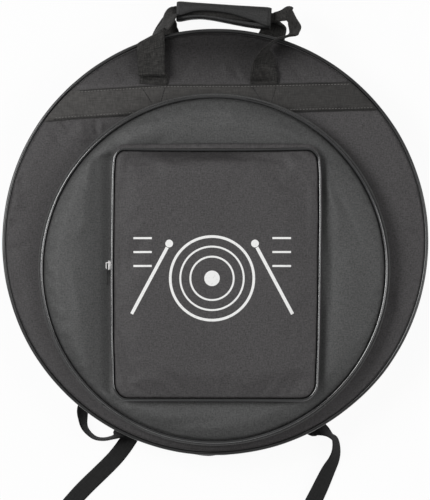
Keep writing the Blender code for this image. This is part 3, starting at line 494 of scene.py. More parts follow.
def rounded(offset):
    """The square pocket's outline, wobbling a little as sewn cloth does."""
    half_w, half_h = SMALL_HALF_WIDTH + offset, SMALL_HALF_HEIGHT + offset
    points = []
    for quarter, (sx, sy) in enumerate(((1, 1), (-1, 1), (-1, -1), (1, -1))):
        corner = offset + (UPPER_CORNER if sy > 0 else LOWER_CORNER)
        middle = Vector((SMALL_SHIFT + sx * (half_w - corner), -SMALL_DROP + sy * (half_h - corner)))
        for k in range(15):
            turn = (quarter + k / 14) * math.pi / 2
            points.append((middle.x + corner * math.cos(turn), middle.y + corner * math.sin(turn)))
    loop = resample(np.array(points), 216)
    x, y = loop[:, 0] - SMALL_SHIFT, loop[:, 1] + SMALL_DROP
    up = y / SMALL_HALF_HEIGHT
    out = np.clip(np.abs(x) / SMALL_HALF_WIDTH, 0, 1)
    stray = np.where(x < 0, np.interp(up, UP_SHARES, LEFT_STRAY), np.interp(up, UP_SHARES, RIGHT_STRAY))
    loop[:, 0] += stray * out ** 6
    loop[:, 1] -= 0.0014 * np.clip(up, 0, 1) ** 8 * (1 - out ** 2)
    return loop


def wobble(x, y, seed, size, depth):
    return depth * noise.noise(Vector((x / size, y / size, seed)))


def creased(points, creases):
    """Height of the creases at each point. A crease is a line in millimetres with a width and a depth, and it
    fades at its ends."""
    x, y = points[:, 0] * 1000, points[:, 1] * 1000
    total = np.zeros(len(points))
    for x0, y0, x1, y1, width, depth in creases:
        dx, dy = x1 - x0, y1 - y0
        near = np.clip(((x - x0) * dx + (y - y0) * dy) / (dx * dx + dy * dy), 0, 1)
        beside = np.hypot(x - x0 - near * dx, y - y0 - near * dy) / width
        fading = 1 - np.abs(2 * near - 1) ** 3
        total -= np.where(beside < 3, depth / 1000 * (0.25 + 0.75 * fading) * np.exp(-beside * beside), 0)
    return total


def inside(points, outline):
    """Which points lie inside a closed outline."""
    x, y = points[:, 0], points[:, 1]
    result = np.zeros(len(points), bool)
    for (x0, y0), (x1, y1) in zip(outline, np.roll(outline, -1, axis=0)):
        result ^= ((y0 > y) != (y1 > y)) & (x < (x1 - x0) * (y - y0) / (y1 - y0 + 1e-12) + x0)
    return result


def edge_distance(points, outline):
    result = np.full(len(points), 1e9)
    for p, q in zip(outline, np.roll(outline, -1, axis=0)):
        d = q - p
        t = np.clip(((points - p) @ d) / max(d @ d, 1e-12), 0, 1)
        result = np.minimum(result, np.linalg.norm(points - (p + t[:, None] * d), axis=1))
    return result


def sheet_net(outline, spacing):
    """An even triangle net inside an outline: (points, faces, count of boundary points)."""
    low, high = outline.min(0), outline.max(0)
    rows = []
    for j, y in enumerate(np.arange(low[1], high[1], spacing * 0.866)):
        x = np.arange(low[0] + (spacing / 2 if j % 2 else 0), high[0], spacing)
        rows.append(np.stack([x, np.full(len(x), y)], 1))
    net = np.vstack(rows)
    net = net[inside(net, outline)]
    net = net[edge_distance(net, outline) > spacing * 0.6]
    count = len(outline)
    edges = [(k, (k + 1) % count) for k in range(count)]
    made = delaunay_2d_cdt([Vector(p) for p in np.vstack([outline, net])], edges, [], 1, 1e-7)
    return np.array([tuple(p) for p in made[0]]), [tuple(f) for f in made[2]], count


def closed_sheet(name, net, top, bottom, look):
    """A cover with its own heights above and below a triangle net, closed round the border."""
    points, faces, border = net
    count = len(points)
    heights = [np.broadcast_to(level, count) for level in (top, bottom)]
    vertices = np.vstack([np.column_stack([points, level]) for level in heights])
    made = list(faces) + [tuple(count + k for k in f[::-1]) for f in faces]
    for k in range(border):
        k2 = (k + 1) % border
        made.append((k2, k, count + k, count + k2))
    mesh = mesh_from(name, vertices, made, np.vstack([points, points]))
    outward(mesh)
    return finish_mesh(name, mesh, look)


def patch(name, outline, spacing, seat, face, drop, edge, look, power=2):
    """A thin sheet between its seat and its face, whose face drops towards the seat near the edge."""
    net = sheet_net(outline, spacing)
    near = np.clip(1 - edge_distance(net[0], outline) / edge, 0, 1) ** power
    face = face + math.copysign(drop, seat - face) * near
    return closed_sheet(name, net, *((face, seat) if face[0] > seat else (seat, face)), look)


CLOTH_FRAMES = 20
CLOTH_SETTINGS = {
    "quality": 6, "mass": 0.25, "tension_stiffness": 8.0, "compression_stiffness": 8.0,
    "shear_stiffness": 4.8, "bending_stiffness": 0.6, "tension_damping": 12.0, "compression_damping": 12.0,
    "air_damping": 3.0, "vertex_group_mass": "held", "use_pressure": True,
}


def inflate(points, heights, faces, held, slack, pressure, cap):
    """Cloth with spare width, held at some points, swells and wrinkles: the new places of its points."""
    vertices = np.column_stack([points, heights])
    piece = bpy.data.objects.new("cloth", mesh_from("cloth", vertices, faces))
    SCENE.collection.objects.link(piece)
    piece.vertex_groups.new(name="held").add(np.flatnonzero(held).tolist(), 1.0, "REPLACE")
    modifier = piece.modifiers.new("Cloth", "CLOTH")
    settings = modifier.settings
    for key, value in CLOTH_SETTINGS.items():
        setattr(settings, key, value)
    settings.shrink_min = -slack
    settings.uniform_pressure_force = pressure
    settings.effector_weights.gravity = 0.0
    modifier.collision_settings.use_collision = False
    modifier.point_cache.frame_start = 1
    modifier.point_cache.frame_end = CLOTH_FRAMES
    for k in range(CLOTH_FRAMES):
        SCENE.frame_set(k + 1)
    result = piece.evaluated_get(bpy.context.evaluated_depsgraph_get()).to_mesh()
    places = np.empty(len(result.vertices) * 3)
    result.vertices.foreach_get("co", places)
    bpy.data.objects.remove(piece, do_unlink=True)
    SCENE.frame_set(1)
    move = places.reshape(-1, 3) - vertices
    length = np.linalg.norm(move, axis=1, keepdims=True)
    return vertices + move * np.minimum(1, cap / np.maximum(length, 1e-9))


# Shell

# The front panel's creases: start and end in millimetres, width and depth. A depth below zero stands out
FRONT_CREASES = (
    (-204, 161, -188, 145, 3.4, 1.5), (-158, 160, -154, 143, 3.2, 1.6), (-187, 140, -166, 133, 4.4, -1.2),
    (-178, 157, -171, 142, 6.0, -1.5), (-194, 156, -186, 148, 3.0, -0.9), (-149, 158, -150, 146, 3.0, -0.8),
    (-214, 150, -200, 128, 7.0, 0.9), (-267, 86, -250, 76, 3.6, 1.6), (-262, 68, -262, 40, 8.0, -1.6),
    (-273, 28, -257, 21, 3.6, 1.5), (-270, -12, -246, -4, 4.0, 0.9), (-262, -40, -246, -80, 8.0, 1.0),
    (252, 14, 268, 11, 3.0, 1.3), (246, 60, 262, 92, 7.0, 1.0), (240, -60, 250, -110, 8.0, -0.9),
    (24, 228, 33, 212, 3.0, 1.2), (12, 232, 18, 216, 3.0, -0.9), (-30, 240, -44, 214, 5.0, 0.9),
    (96, 232, 118, 214, 5.0, 0.9), (-130, 226, -112, 212, 5.0, 0.9), (150, 214, 168, 206, 5.0, -0.8),
)
CREASE_GAIN = 1.5
SEAM_INSET = 0.0004
QUILT_WIDTH = 0.018
QUILT_DEPTH = 0.0016
PANEL_SINK = 0.0009
CREASE_MARGIN = 0.004
# Each wave has a seed, a size and a depth
PANEL_WAVES = ((3.1, 0.11, 0.0009), (7.7, 0.035, 0.00035))
BAND_WAVE = (11.3, 0.03, 0.00025)
COVER_WAVE = (0.05, 0.0006)


def build_panel(name, node, body, level, side, spacing, look, creases=(), sag=0.0):
    """One padded round panel, its outer face quilted down at the seam and a little uneven inside it."""
    outline = circle(0, 0, SHELL_RADIUS - SEAM_INSET)
    net = sheet_net(outline, spacing)
    points = net[0]
    rim = edge_distance(points, outline)
    swell = np.clip(rim / QUILT_WIDTH, 0, 1)
    swell = swell * swell * (3 - 2 * swell)
    waves = np.array([sum(wobble(x, y, *wave) for wave in PANEL_WAVES) for x, y in points])
    slope = np.clip((points[:, 1] - BAND_TOP) / (SHELL_RADIUS - BAND_TOP), 0, 1)
    outer = (swell - 1) * QUILT_DEPTH + waves * swell - PANEL_SINK - sag * slope ** 1.5
    outer += CREASE_GAIN * creased(points, creases) * np.clip(rim / CREASE_MARGIN, 0, 1)
    inner = PANEL_THICK - 0.0002
    top, bottom = (level + outer, level - inner) if side > 0 else (level + inner, level - outer)
    declare(closed_sheet(name, net, top, bottom, look), node, "shell_cloth", body, fill=0.8)


def ring_section(name, section, look, start=0.0, end=2 * math.pi, steps=240, droops=()):
    """A band round the shell: its section is given as (radius, level) pairs. Each droop, with its place and
    reach in degrees and its depth, lets the bowed face hang further out near a place on the round."""
    whole = abs(end - start - 2 * math.pi) < 1e-6
    count = steps if whole else max(8, int(steps * (end - start) / (2 * math.pi)))
    rings = []
    for t in start + (end - start) * np.arange(count if whole else count + 1) / count:
        sway = 1 + WALL_SWAY * noise.noise(Vector((2.4 * math.cos(t), 2.4 * math.sin(t), 5.0)))
        more = sum(d * math.exp(-(((math.degrees(t) - a + 180) % 360 - 180) / w) ** 2) for a, w, d in droops)
        reaches = [(r * sway + more * max(0.0, r - SHELL_RADIUS) / WALL_BOW, z) for r, z in section]
        rings.append([(r * math.cos(t), r * math.sin(t), z) for r, z in reaches])
    return tube(name, rings, look, whole)


def wall_section(low, high, bow, steps=8):
    """A wall whose outer face bows outwards."""
    inner, outer = SHELL_RADIUS - WALL_THICK, SHELL_RADIUS
    rows = [(inner, low), (outer - SEAM_INSET, low)]
    for k in range(steps + 1):
        share = k / steps
        rows.append((outer + bow * math.sin(math.pi * share), low + GAP + (high - low - 2 * GAP) * share))
    return rows + [(outer - SEAM_INSET, high), (inner, high)]


WALL_BOW = 0.0022
WALL_SWAY = 0.0012
HINGE_BOW = 0.0012
FOOT_DROOPS = ((-91, 44, 0.0040), (-92, 4.5, 0.0018), (-89.6, 1.2, -0.0010))


def build_walls():
    tape_low = ZIP_LEVEL - TAPE_SPLIT / 2 - TAPE_WIDTH
    tape_high = ZIP_LEVEL + TAPE_SPLIT / 2 + TAPE_WIDTH
    for name, node, body, low, high, droops in (
            ("back_wall", "back_gusset", "base", PANEL_THICK, tape_low, FOOT_DROOPS),
            ("front_wall", "front_gusset", "lid", tape_high, FRONT - PANEL_THICK, ())):
        wall = ring_section(name, wall_section(low, high, WALL_BOW), "shell", steps=480, droops=droops)
        declare(wall, node, "shell_cloth", body, fill=0.7)
    hinge = ring_section("hinge_cloth", wall_section(tape_low + GAP, tape_high - GAP, HINGE_BOW), "shell",
                         FOOT - HINGE_ANGLE, FOOT + HINGE_ANGLE)
    declare(hinge, "hinge_gusset_lower hinge_gusset_upper", "shell_cloth", "base", "lid",
            ((0, -SHELL_RADIUS, tape_low + 0.002), (0, -SHELL_RADIUS, tape_high - 0.002)))


def round_tube(name, path, radius, look, sides=14):
    """A closed tube along level points, its thickness a little uneven."""
    path = np.asarray(path, float)
    rings = []
    for before, place, after in zip(np.roll(path, 1, axis=0), path, np.roll(path, -1, axis=0)):
        tangent = Vector(after - before).normalized()
        out = tangent.cross(Vector((0, 0, 1))).normalized()
        up = out.cross(tangent)
        r = radius * (1 + 0.05 * noise.noise(Vector(place) * 45))
        rings.append([Vector(place) + out * r * math.cos(t) + up * r * math.sin(t)
                      for t in np.arange(sides) * 2 * math.pi / sides])
    return tube(name, rings, look, True)


def build_rim_piping():
    centre = SHELL_RADIUS + GAP + RIM_PIPING
    for name, node, body, level, seed in (
            ("back_cord", "back_piping", "base", PANEL_THICK / 2, 1.3),
            ("front_cord", "front_piping", "lid", FRONT - PANEL_THICK / 2, 6.1)):
        path = []
        for x, y in circle(0, 0, 1, 360):
            reach = centre + 0.0006 * noise.noise(Vector((3 * x, 3 * y, seed)))
            lift = 0.0007 * noise.noise(Vector((4 * x, 4 * y, seed + 9)))
            path.append((reach * x, reach * y, level + lift))
        declare(round_tube(name, path, RIM_PIPING, "rim"), node, "piping_vinyl", body)


COIL_PITCH = 0.0024
TOOTH_HEIGHT = 0.0014
TOOTH_DEPTH = 0.00045


def zip_teeth(name, radius, drop, level, start, end, side, wire):
    """One row of zip teeth round an arc: a fine wire that swings in and out over its tape."""
    count = int((end - start) * radius / COIL_PITCH) * 4
    path = []
    for k in range(count + 1):
        t = start + (end - start) * k / count
        r = radius + TOOTH_DEPTH * math.cos(k * math.pi / 2)
        z = level + TOOTH_HEIGHT * math.sin(k * math.pi / 2) * side
        path.append((r * math.cos(t), r * math.sin(t) - drop, z, 1))
    curve = bpy.data.curves.new(name, "CURVE")
    curve.dimensions = "3D"
    curve.bevel_depth = wire
    curve.bevel_resolution = 0
    curve.use_fill_caps = True
    run = curve.splines.new("POLY")
    run.points.add(len(path) - 1)
    run.points.foreach_set("co", np.array(path).ravel())
    curve.materials.append(MATERIALS["coil"])
    piece = bpy.data.objects.new(name, curve)
    SCENE.collection.objects.link(piece)
    return piece


def build_main_zip():
    start, end = FOOT + HINGE_ANGLE, FOOT + 2 * math.pi - HINGE_ANGLE
    for tag, body, side in (("back", "base", -1), ("front", "lid", 1)):
        near = ZIP_LEVEL + side * TAPE_SPLIT / 2
        low, high = sorted((near, near + side * TAPE_WIDTH))
        back = TAPE_FACE - TAPE_THICK
        middle = (low + high) / 2
        section = [(back, low), (TAPE_FACE, low), (TAPE_FACE, middle), (TAPE_FACE, high), (back, high)]
        tape = ring_section("zip_band_" + tag, section, "tape", start + 0.002, end - 0.002)
        declare(tape, "main_tape_" + tag, "zip_tape", body)
        teeth = zip_teeth("zip_teeth_" + tag, TAPE_FACE + 0.0010, 0, ZIP_LEVEL + side * 0.0008, start + 0.012,
                          end - 0.012, side, 0.00032)
        declare(teeth, "main_coil_" + tag, "coil_plastic", body)


# Pitch, length and radius of the stitches
STITCH = (0.0036, 0.0026, 0.00036)
BAND_STITCH = (0.0042, 0.0028, 0.0004)
HANDLE_STITCH = (0.0034, 0.0026, 0.0005)
TAB_STITCH = (0.003, 0.0021, 0.00036)


def stitch_row(path, pitch, length, radius):
    """Small thread beads laid along a path, each as its two ends and its radius."""
    path = np.asarray(path, float)
    steps = lengths_along(path)
    beads = []
    place = pitch / 2
    while place + length / 2 < steps[-1]:
        ends = [[np.interp(place + s * length / 2, steps, path[:, k]) for k in range(3)] for s in (-1, 1)]
        beads.append((*ends, radius))
        place += pitch
    return beads


def sew(name, beads, look, body):
    """Thread beads as one mesh on a body: each a squat six-sided capsule."""
    vertices, faces = [], []
    for a, b, r in beads:
        a, b = Vector(a), Vector(b)
        along = (b - a).normalized()
        side = along.cross(Vector((0, 0, 1)))
        side = side.normalized() if side.length > 1e-6 else Vector((1, 0, 0))
        up = side.cross(along)
        first = len(vertices)
        for share, width in ((0.0, 0.45), (0.18, 1.0), (0.82, 1.0), (1.0, 0.45)):
            for k in range(6):
                t = k * math.pi / 3
                vertices.append(a.lerp(b, share) + (side * math.cos(t) + up * math.sin(t)) * r * width)
        for j in range(3):
            for k in range(6):
                p, q = first + j * 6 + k, first + j * 6 + (k + 1) % 6
                faces.append((p, q, q + 6, p + 6))
        faces.append(tuple(range(first, first + 6))[::-1])
        faces.append(tuple(range(first + 18, first + 24)))
    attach(finish_mesh(name, mesh_from(name, vertices, faces, [(v[0], v[1]) for v in vertices]), look), body)


# Bands and handles

def droop(x):
    """How far the sewn band strays from level: it drops to its left end and rises a little to the right."""
    return -0.0078 * max(0.0, (-0.060 - x) / 0.130) ** 1.15 + 0.0026 * max(0.0, (x - 0.046) / 0.122)


def arc(radius, start, end, count, drop=0.0):
    return [(radius * math.cos(t), radius * math.sin(t) - drop) for t in np.linspace(start, end, count)]


def band_loop(notch=None, stray=droop):
    """The outline of a band across the shell, with its lower edge cut round the pocket."""
    radius = SHELL_RADIUS - GAP
    fine = np.linspace(-radius, radius, 4001)
    rows = [[(x, level + stray(x)) for x in fine] for level in (BAND_TOP, BAND_FOOT)]
    top, foot = ([p for p in row if math.hypot(*p) < radius] for row in rows)
    turns = [math.atan2(p[1], p[0]) for p in (foot[-1], top[-1], top[0], foot[0])]
    outline = arc(radius, turns[0], turns[1], 9) + top[::-1][20:-20:44] + arc(radius, turns[2], turns[3], 9)
    if not notch:
        return np.array(outline + foot[20:-20:44])
    clear = [p for p in foot if math.hypot(p[0], p[1] + ROUND_DROP) > notch]
    left, right = [p for p in clear if p[0] < 0], [p for p in clear if p[0] > 0]
    ends = [math.atan2(p[1] + ROUND_DROP, p[0]) for p in (left[-1], right[0])]
    return np.array(outline + left[20:-10:44] + arc(notch, *ends, 50, ROUND_DROP) + right[10:-20:44])


BAND_SEAMS = (BAND_TOP - 0.0012, BAND_TOP - 0.0030, BAND_FOOT + 0.0012, BAND_FOOT + 0.0034)


def build_band(name, node, body, outline, level, side):
    net = sheet_net(outline, 0.006)
    rim = edge_distance(net[0], outline)
    lift = np.array([wobble(x, y, *BAND_WAVE) for x, y in net[0]])
    face = level + side * (BAND_THICK - GAP)
    outer = face + side * (lift - 0.0008 * np.clip(1 - rim / 0.002, 0, 1))
    band = closed_sheet(name, net, *((outer, level) if side > 0 else (level, outer)), "webbing")
    declare(band, node, "webbing", body)
    # Painted highlight: the inner row of each band seam is sewn in pale thread for the light on the stitches.
    rows, pale = [], []
    for y, row in zip(BAND_SEAMS, (rows, pale, rows, pale)):
        reach = math.sqrt(SHELL_RADIUS ** 2 - y * y) - 0.004
        stretches = [(-reach, reach)]
        if side > 0 and y < ROUND_RADIUS - ROUND_DROP:
            cut = math.sqrt((ROUND_RADIUS + 0.006) ** 2 - (y + ROUND_DROP) ** 2)
            stretches = [(-reach, -cut), (cut, reach)]
        for ends in stretches:
            run = [(x, y + (droop(x) if side > 0 else 0), face) for x in np.linspace(*ends, 60)]
            row += stitch_row(run, *BAND_STITCH)
    for centre in (-HANDLE_SPAN / 2 - HANDLE_SHIFT, HANDLE_SPAN / 2 - HANDLE_SHIFT):
        half = HANDLE_WEB_WIDTH / 2 - 0.003
        for s in (-1, 1):
            foot = centre + 0.004 + s * 0.005
            run = [(centre + s * half, BAND_TOP - 0.004, face), (foot, BAND_FOOT + 0.012, face)]
            rows += stitch_row(run, *HANDLE_STITCH)
    sew(name + "_stitches", rows, "thread", body)
    sew(name + "_painted_highlight_stitches", pale, "pale_thread", body)


def ribbon(name, places, widths, thick, directions, look):
    """Flat webbing through places, with rounded edges. Its width points as each direction says, square to the
    run unless the direction has a third number, which lets it lean as a folded strip does."""
    rows = []
    for place, width, depth, (turn, rise, *lean) in zip(places, widths, thick, directions):
        a, b = math.radians(turn), math.radians(rise)
        across = (math.cos(b) * math.cos(a), math.cos(b) * math.sin(a), math.sin(b))
        rows.append([*place, width, depth, *across, *(lean or [0])])
    fine = spline(rows)
    rings = []
    for k, row in enumerate(fine):
        place = Vector(row[:3])
        tangent = Vector(fine[min(k + 1, len(fine) - 1)][:3]) - Vector(fine[max(k - 1, 0)][:3])
        tangent.normalize()
        across = Vector(row[5:8])
        through = tangent.cross(across).normalized()
        across = (across - tangent * across.dot(tangent) * (1 - row[8])).normalized()
        half, deep = row[3] / 2, row[4] / 2
        sides = []
        for s in np.linspace(-1, 1, 11):
            past = max(0.0, (abs(s) * half - half + deep) / deep)
            pinch = math.sqrt(max(0.0, 1 - past ** 2))
            sides.append((place + across * half * s, through * deep * max(pinch, 0.35)))
        rings.append([p + d for p, d in sides] + [p - d for p, d in sides[::-1]])
    return tube(name, rings, look)


# Routes of the webbing: place in millimetres, share of the width, layers, and the way that the width points.
# They follow the model's own routes, with the folds that soft webbing makes between them
FRONT_HANDLE_ROUTE = (
    ((-80.4, 206.3, 51.6), 1, 1, (0, 0)), ((-80.2, 209.6, 51.7), 1, 1, (0, 0)),
    ((-79.4, 214.4, 52.2), 1, 1, (1, 0)), ((-79.6, 218.4, 54), 1, 1, (2, 0)),
    ((-80.2, 219.4, 58), 0.99, 1, (2, 0)), ((-81.2, 217.2, 62.2), 0.98, 1, (2, 0)),
    ((-81.8, 219.6, 65.2), 0.96, 1, (2, 0)), ((-82.2, 230, 63.4), 0.96, 1, (0, 4)),
    ((-83, 241, 60.4), 0.98, 1, (3, 4, 0.6)), ((-83.4, 253, 59), 1.04, 1, (16, 3, 1)),
    ((-83.6, 264, 57.8), 1.1, 1, (27, 2, 1)), ((-83.2, 268.2, 55.6), 1.12, 1, (28, 2, 1)),
    ((-82.4, 269.2, 51.8), 1.12, 1, (28, 4, 1)), ((-78.8, 271, 47.6), 1.05, 1, (32, 24, 0.5)),
    ((-72.4, 275, 43.6), 1, 1, (14, 50)), ((-66, 283.5, 40), 0.98, 1, (-14, 60)),
    ((-61.4, 291.5, 36), 0.92, 1, (-22, 62)), ((-58, 299.5, 31.6), 0.74, 1.2, (-40, 52)),
    ((-53, 304, 28.4), 0.44, 1.8, (-76, 20)), ((-46, 304.2, 26.6), 0.34, 2, (-94, 0)),
    ((12, 300, 26.6), 0.34, 2, (-94, 0)), ((70, 295.6, 26.6), 0.34, 2, (-94, 0)),
    ((80, 296.6, 27.6), 0.36, 1.9, (-94, 0)), ((89, 298.4, 30), 0.42, 1.7, (-97, -4)),
    ((96.6, 300.4, 33.2), 0.54, 1.3, (-103, -6)), ((98.2, 297.2, 35), 0.5, 1, (-107, -12, 1)),
    ((100.4, 291, 38.6), 0.52, 1, (-122, -34, 0.6)), ((103.2, 282, 44.4), 0.72, 1, (-150, -58)),
    ((103, 274.8, 49.6), 0.84, 1, (-174, -57)), ((98.8, 268.6, 56.4), 0.88, 1, (-184, -66)),
    ((91.6, 266.6, 64.2), 0.92, 1, (45, -84)), ((80.3, 261.6, 69.4), 0.96, 1, (45, -76)),
    ((67.9, 249.4, 69.8), 1, 1, (30, -66)), ((64.7, 234.4, 64.4), 1, 1, (6, -38)),
    ((64.7, 218.5, 58.8), 1, 1, (0, -20)), ((65, 209.6, 51.7), 1, 1, (0, 0)),
    ((65, 206.3, 51.6), 1, 1, (0, 0)),
)
REAR_HANDLE_ROUTE = (
    ((-80.4, 206.3, -1.6), 1, 1, (0, 0)), ((-80.4, 211, -1.6), 1, 1, (0, 0)),
    ((-78.4, 239.1, -2), 1, 1, (0, 0)), ((-69, 268, -2.4), 1, 1, (-6, 0)),
    ((-64, 283, 2.6), 0.86, 1, (-16, 10)), ((-60, 294, 10.6), 0.62, 1.4, (-50, 10)),
    ((-50.2, 304.3, 20), 0.34, 2, (-94, 0)), ((11.9, 300, 20), 0.34, 2, (-94, 0)),
    ((73.7, 296.1, 20), 0.34, 2, (-94, 0)), ((82.4, 292.5, 11.8), 0.58, 1.4, (-50, 0)),
    ((79.5, 285.9, 3.2), 0.8, 1, (-10, 0)), ((72.3, 270, -2.4), 1, 1, (-10, 0)),
    ((65.7, 239.1, -2), 1, 1, (0, 0)), ((65, 211, -1.6), 1, 1, (0, 0)),
    ((65, 206.3, -1.6), 1, 1, (0, 0)),
)


def build_handle(name, node, body, route, level):
    places, widths, layers, directions = zip(*route)
    places = [[n / 1000 for n in place] for place in places]
    widths = [HANDLE_WEB_WIDTH * share for share in widths]
    webbing = ribbon(name, places, widths, [HANDLE_WEB_THICK * n for n in layers], directions, "handle")
    bend = ((0, HANDLE_START + 0.001, level), (0, HANDLE_START + 0.014, level))
    declare(webbing, node, "webbing", body, node, bend)


# Widths of the grip's wrap and of its flap along the grip, in millimetres
GRIP_WIDTHS = ((-62, 26), (-56, 24.6), (-45, 21.4), (-30, 19.4), (-14, 20.4), (0, 22.4), (28, 26), (46, 27.4),
               (62, 27.4))
FLAP_WIDTHS = ((-62, 20), (-54, 17), (-41, 11.6), (-28, 10), (-11, 9.8), (4, 11), (19, 14), (40, 19),
               (52, 24), (62, 25.4))


def grip_place(along, across, up):
    """A place on the tilted grip."""
    c, s = math.cos(WRAP_TILT), math.sin(WRAP_TILT)
    return (WRAP_SHIFT + c * along - s * across, GRIP_Y + s * along + c * across, WRAP_LOW + up)


def width_at(table, along):
    return float(np.interp(along * 1000, *zip(*table))) / 1000


def grip_roll(name, node, body, outline, longer, swell, widths, fill):
    """A padded section lofted along the grip. Its edge follows a table of widths; its ends are drawn in."""
    outline = spline([(x, y, 0) for x, y in outline], 4, True)[:, :2]
    start, end = GRIP_START - longer, GRIP_END + longer
    rings = []
    for k in range(61):
        along = start + (end - start) * k / 60
        near = min(1.0, min(along - start, end - along) / 0.006)
        grow = 1 - 0.08 * (1 - near) ** 2
        reach = sum(width_at(widths, along + shift) for shift in (-0.004, 0, 0.004)) / 3
        ring = []
        for j, (across, up) in enumerate(outline):
            puff = swell * noise.noise(Vector((along * 30, j * 0.7, 2.0)))
            place = WRAP_WIDTH / 2 - (WRAP_WIDTH / 2 - across) * reach / WRAP_WIDTH
            ring.append(grip_place(along, place * grow + puff, (up - 0.010) * grow + 0.010 + puff))
        rings.append(ring)
    declare(tube(name, rings, "padding"), node, "padding", body, fill=fill)


def build_grip():
    half, wall, height = WRAP_WIDTH / 2, WRAP_THICK, WRAP_HEIGHT
    outline = [(-half + 0.002, 0.0004), (0, 0), (half - 0.002, 0.0004), (half, 0.004), (half + 0.0004, 0.012),
               (half - 0.0004, height - 0.001), (half - wall / 2, height), (half - wall, height - 0.002),
               (half - wall, 0.008), (half - wall - 0.001, wall + 0.0004), (0, wall),
               (wall - half + 0.001, wall + 0.0004), (wall - half, 0.008),
               (wall - half + 0.0004, height - wall - 0.0006), (-0.0066, height - wall),
               (-0.0063, height - wall / 2), (-0.0066, height - 0.0002), (-half + 0.002, height - 0.0004),
               (-half, height - 0.004), (-half - 0.0004, 0.010), (-half, 0.004)]
    grip_roll("grip_roll", "grip_wrap", "rear_handle", outline, 0, 0.0004, GRIP_WIDTHS, 0.7)
    low, high, tip = height + GAP, height + GAP + wall, -half
    middle = (low + high) / 2
    outline = [(half, low - 0.0006), (half + 0.0006, middle - 0.0008), (half - 0.0014, high - 0.0002),
               (half - 0.006, high + 0.0008), (0.000, high + 0.0014), (tip + 0.005, high + 0.0008),
               (tip + 0.001, high), (tip - 0.0002, middle), (tip + 0.0008, low), (-0.003, low),
               (half - 0.004, low)]
    grip_roll("grip_cover", "grip_flap", "grip_flap", outline, 0.0005, 0.0003, FLAP_WIDTHS, 0.6)
    rows = []
    for along in (GRIP_START + 0.0035, GRIP_END - 0.0035):
        foot = half - width_at(FLAP_WIDTHS, along) + 0.002
        run = [grip_place(along, a, high + 0.0012) for a in np.linspace(foot, half - 0.002, 12)]
        rows += stitch_row(run, *STITCH)
    sew("grip_stitches", rows, "thread", "grip_flap")


# Pockets

def seam_cord(name, outline, level, radius, seed, sink=None):
    """Piping round a pocket's seam, which strays a little and may be drawn down."""
    path = []
    for x, y in outline:
        lift = 0.0006 * noise.noise(Vector((x * 22, y * 22, seed))) - (sink(x, y) if sink else 0)
        sway = 0.0005 * noise.noise(Vector((x * 22, y * 22, seed + 5)))
        path.append((x * (1 + sway), y * (1 + sway), level + lift))
    return round_tube(name, path, radius, "piping", 12)


def bowed(offset, thick, low, high, bow, steps=5):
    """The rows of a wall that bows outwards, as (offset, level) pairs."""
    face = [(offset + bow * math.sin(math.pi * k / steps), low + (high - low) * k / steps)
            for k in range(steps + 1)]
    return [(offset - thick, low), *face, (offset - thick, high)]


def sewn_wall(name, outline_at, rows, look, chord=None, side=1):
    """A wall that follows an outline at each row; with a chord, only the part on one side of it."""
    loops = np.array([[(*p, z) for p in outline_at(o, z)] for o, z in rows])
    if chord is None:
        return tube(name, loops.transpose(1, 0, 2), look, True)
    kept = side * (loops[1, :, 1] - chord) > 0
    start = next(k for k in range(len(kept)) if kept[k] and not kept[k - 1])
    keep = [k % len(kept) for k in range(start, start + kept.sum())]
    rings = loops[:, keep].transpose(1, 0, 2).copy()
    for end, beside in ((0, 1), (-1, -2)):
        x0, x1 = rings[end, :, :2], rings[beside, :, :2].copy()
        share = (chord + side * 0.0002 - x0[:, 1]) / (x1[:, 1] - x0[:, 1])
        rings[end, :, :2] = x0 + (x1 - x0) * share[:, None]
    return tube(name, rings, look)


def round_at(offset, level=0):
    return circle(0, -ROUND_DROP, ROUND_RADIUS + offset, 300)


SMALL_HEAD = SMALL_HALF_HEIGHT - SMALL_DROP
HEAD_REACH = 0.016
HEAD_BELLY = 0.0066
HEAD_SINK = 0.0030
# The dip below the top seam
DIP_PLACE = 0.0070
DIP_WIDTH = 0.0058
DIP_DEPTH = 0.0058


def square_wall_at(offset, level):
    """The square pocket's outline at a level: its top side bellies out between floor and flap."""
    share = min(1.0, max(0.0, (level - SMALL_FLOOR) / (SMALL_TOP - SMALL_FLOOR)))
    loop = rounded(offset)
    lean = np.clip((loop[:, 1] - SMALL_HEAD + HEAD_REACH) / HEAD_REACH, 0, 1)
    sag = np.clip(1 - np.abs(loop[:, 0] - SMALL_SHIFT) / 0.150, 0, 1) ** 0.3
    belly = np.interp(share, (0, 0.35, 0.62, 0.80, 0.92, 1), (0.10, 0.34, 0.76, 1.0, 0.72, 0.0))
    loop[:, 1] += HEAD_BELLY * lean * sag * belly
    return loop


def square_sink(x, y):
    """How far the square pocket's top seam is drawn down."""
    near = min(1.0, max(0.0, 1 - (SMALL_HEAD - y) / HEAD_REACH))
    return HEAD_SINK * near * near * max(0.0, 1 - abs((x - SMALL_SHIFT) / 0.118) ** 4)


def spread(coarse, values, fine):
    """Values at the points of a coarse net, carried over to the points of a fine one."""
    carried = np.empty((len(fine), values.shape[1]))
    for k in range(0, len(fine), 500):
        far = ((fine[k:k + 500, None] - coarse[None]) ** 2).sum(2)
        near = np.argpartition(far, 6, axis=1)[:, :6]
        weight = 1 / (np.take_along_axis(far, near, 1) + 1e-7) ** 1.2
        carried[k:k + 500] = (values[near] * weight[..., None]).sum(1) / weight.sum(1)[:, None]
    return carried


SHOULDER = 0.030
CEILING_SOFTNESS = 0.0008
COVER_LEAST = 0.0008


